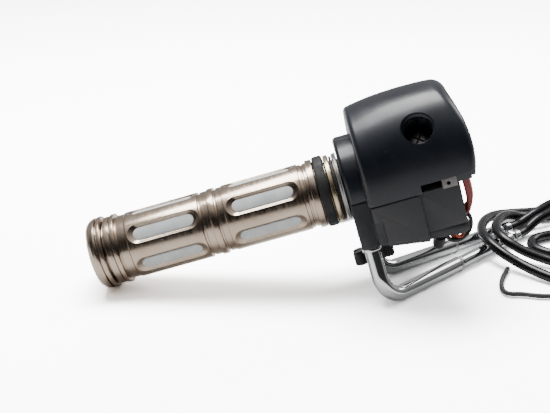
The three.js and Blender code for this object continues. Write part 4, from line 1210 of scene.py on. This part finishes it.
def build_cables(materials):
    chrome, steel = materials["chrome"], materials["steel"]
    for name, cable in CABLES.items():
        top, fall, corner, heading = cable_layout(cable)
        leg, adjuster = cable["leg"], cable["adjuster"]
        path = resample(np.array(elbow_path(top, corner, corner + heading * leg)), 1.0)
        elbow = tube(f"elbow_{name}_tube", path, ELBOW_RADIUS, 48)
        collar_at = bar_to_table(cable_line(cable["side"], cable["socket_end"] + 0.3))
        collar = lathe("collar", [(0, 0), (0, 4.9), (1.8, 4.9), (1.8, 0)], 64, round_by=0.5)
        join(elbow, moved(collar, axis_frame(collar_at, fall)))
        place(elbow, TABLE, "housing", "chrome_tube", chrome, [f"elbow_{name}"])
        along = axis_frame(corner, heading)
        lock = lathe(f"lock_ring_{name}_turned", [
            (leg + 0.3, 0), (leg + 0.3, 4), (leg + 2.2, 4), (leg + 2.2, 0),
        ], 72, round_by=0.45)
        place(moved(lock, along), TABLE, "housing", "steel_fittings", steel, [f"lock_ring_{name}"])
        start, end = leg + 2.5, leg + adjuster - 6.5
        barrel = lathe(f"adjuster_{name}_barrel", [
            (start, 0), (start, 2.9), (start + 0.8, 3.5), (end - 2, 3.5), (end, 3), (end, 0),
        ], 72, round_by=0.4)
        place(moved(barrel, along), TABLE, "housing", "chrome_tube", chrome, [f"adjuster_{name}"])
        build_jacket_ferrule(name, end, along, chrome)


def build_jacket_ferrule(name, end, along, chrome):
    rings = []
    for level, radius in ((0.3, 3.5), (0.6, 3.8), (2.3, 3.8), (2.6, 3.5)):
        rings.append([
            (end + level, radius * math.cos(k * math.pi / 3), radius * math.sin(k * math.pi / 3))
            for k in range(6)
        ])
    ferrule = loft(f"jacket_ferrule_{name}_hex", rings)
    start, stop = end + 2, end + 6.2
    join(ferrule, lathe("sleeve", [(start, 0), (start, 3.3), (stop, 3.3), (stop, 0)], 64, round_by=0.4))
    node = f"jacket_ferrule_{name}"
    place(moved(ferrule, along), TABLE, "housing", "chrome_tube", chrome, [node], sharp=25)


def build_cable_end(name, materials):
    """The end sleeve on the far end of a jacket, and the inner wire that slides in it."""
    route = JACKET_LOOP[name]
    end, before = Vector(route[-1]), Vector(route[-2])
    where = axis_frame(end, end - before)
    length, bore = 27, 5
    outline = [(0.3, 0), (0.3, 3.1)]
    for k in range(6):
        outline += [(1.6 + k * 1.2, 3.1), (1.9 + k * 1.2, 2.85), (2.4 + k * 1.2, 2.85), (2.7 + k * 1.2, 3.1)]
    outline += [
        (9, 3.1), (9.2, 2.7), (length - 3, 2.7), (length, 1.9), (length, 1.2), (bore, 1.2), (bore, 0),
    ]
    sleeve = lathe(f"{name}_end_sleeve_crimped", outline, 48, round_by=0.1)
    steel = materials["steel"]
    place(moved(sleeve, where), TABLE, "housing", "steel_fittings", steel, [f"{name}_end_sleeve"])
    reach = CABLE_PULL_RADIUS * math.radians(75) if name == "front" else 0
    nipple = length + 3.5 + reach
    wire = lathe(f"{name}_wire_end_strand", [
        (bore + 0.5 + reach, 0), (bore + 0.5 + reach, 0.75), (nipple, 0.75), (nipple, 2.2),
        (nipple + 5, 2.2), (nipple + 5, 0),
    ], 40, round_by=0.2)
    body = "pull_wire" if name == "front" else "return_wire"
    place(moved(wire, where), TABLE, body, "brass_nipples", materials["brass"], [f"{name}_wire_end"])
    return [sleeve, wire]


def build_connector(materials):
    low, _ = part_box("harness_connector")
    shell = block("harness_connector_shell", (0, 22), (0, 14), (0, 9), bevel=0.7)
    cut(shell, block("mouth", (-1, 9), (1.3, 12.7), (1.3, 7.7), bevel=0.4))
    ribs = [block("rib", (11 + k * 2.2, 12.2 + k * 2.2), (-0.01, 14.01), (-0.01, 9.01)) for k in range(3)]
    for rib in ribs:
        cut(rib, block("core", (0, 30), (0.4, 13.6), (0.4, 8.6)))
        cut(shell, rib)
    moved(shell, Matrix.Translation(low / MM))
    to_metres = Matrix.Scale(MM, 4)
    place(shell, to_metres, "housing", "satin_black_shell", materials["connector"], ["harness_connector"])
    pins = []
    for row in range(2):
        for column in range(4):
            y, z = 3 + column * 2.65, 3 + row * 3
            pins.append(block("pin", (2.5, 9.5), (y - 0.4, y + 0.4), (z - 0.4, z + 0.4), bevel=0.12))
    blades = merge_meshes("connector_pins", pins)
    moved(blades, Matrix.Translation(low / MM))
    place(blades, to_metres, "housing", "brass_nipples", materials["brass"])
    return [shell, blades]


def build_tucked_wires(materials):
    """Short loops of the switch leads that hang out of the harness opening and go back in."""
    loops = [
        ("red", [
            (177, -22, -24), (175.6, -22.6, -30.5), (178, -23.4, -34), (181.6, -23, -33.2),
            (184, -20, -29.5), (184.5, -16, -24.2),
        ]),
        ("orange", [
            (178.2, -24, -24), (177.8, -24.4, -31), (179.8, -24.6, -33), (182.2, -23.4, -31.6),
            (183.2, -19.6, -28), (182.5, -16.4, -24.2),
        ]),
    ]
    for name, route in loops:
        wire = tube(f"tucked_wire_{name}", spline(route, 0.5, smoothing=6), 0.9, 16)
        place(wire, BAR, "housing", f"{name}_wire", materials[name], sharp=60)
    route = [
        (174.6, -22.4, -24), (173, -23, -29.5), (175, -24.2, -33.4), (180, -24.6, -34), (185.5, -22, -31.4),
        (187.5, -17, -28), (186, -13, -24),
    ]
    sheath = tube("tucked_sheath", spline(route, 0.5, smoothing=6), 1.1, 16)
    place(sheath, BAR, "housing", "harness_sheath", materials["sheath"], sharp=60)


def build_wire_tip(materials):
    """The bared strands at the loose wire's cut end."""
    end, before = Vector(LOOSE_WIRE[0]), Vector(LOOSE_WIRE[1])
    where = axis_frame(end, end - before)
    strands = []
    for k in range(7):
        angle = 2 * math.pi * k / 6
        reach = 0 if k == 6 else 0.52
        y, z = reach * math.cos(angle), reach * math.sin(angle)
        tip = (0.7 + 0.25 * math.sin(5 * k), y * 1.1, z * 1.1)
        strands.append(rod("strand", (-1.5, y, z), tip, 0.25, 10))
    bundle = merge_meshes("loose_wire_strands", strands)
    return place(moved(bundle, where), TABLE, "housing", "harness_sheath", materials["copper"])


make_camera()
MATERIALS = make_materials()
lay_jackets(MATERIALS)
lay_harness(MATERIALS)
make_studio()
build_grip(MATERIALS)
build_upper_shell(MATERIALS)
build_lower_shell(MATERIALS)
build_hardware(MATERIALS)
build_switches(MATERIALS)
build_friction_screw(MATERIALS)
build_lead_wires(MATERIALS)
build_tucked_wires(MATERIALS)
build_cables(MATERIALS)
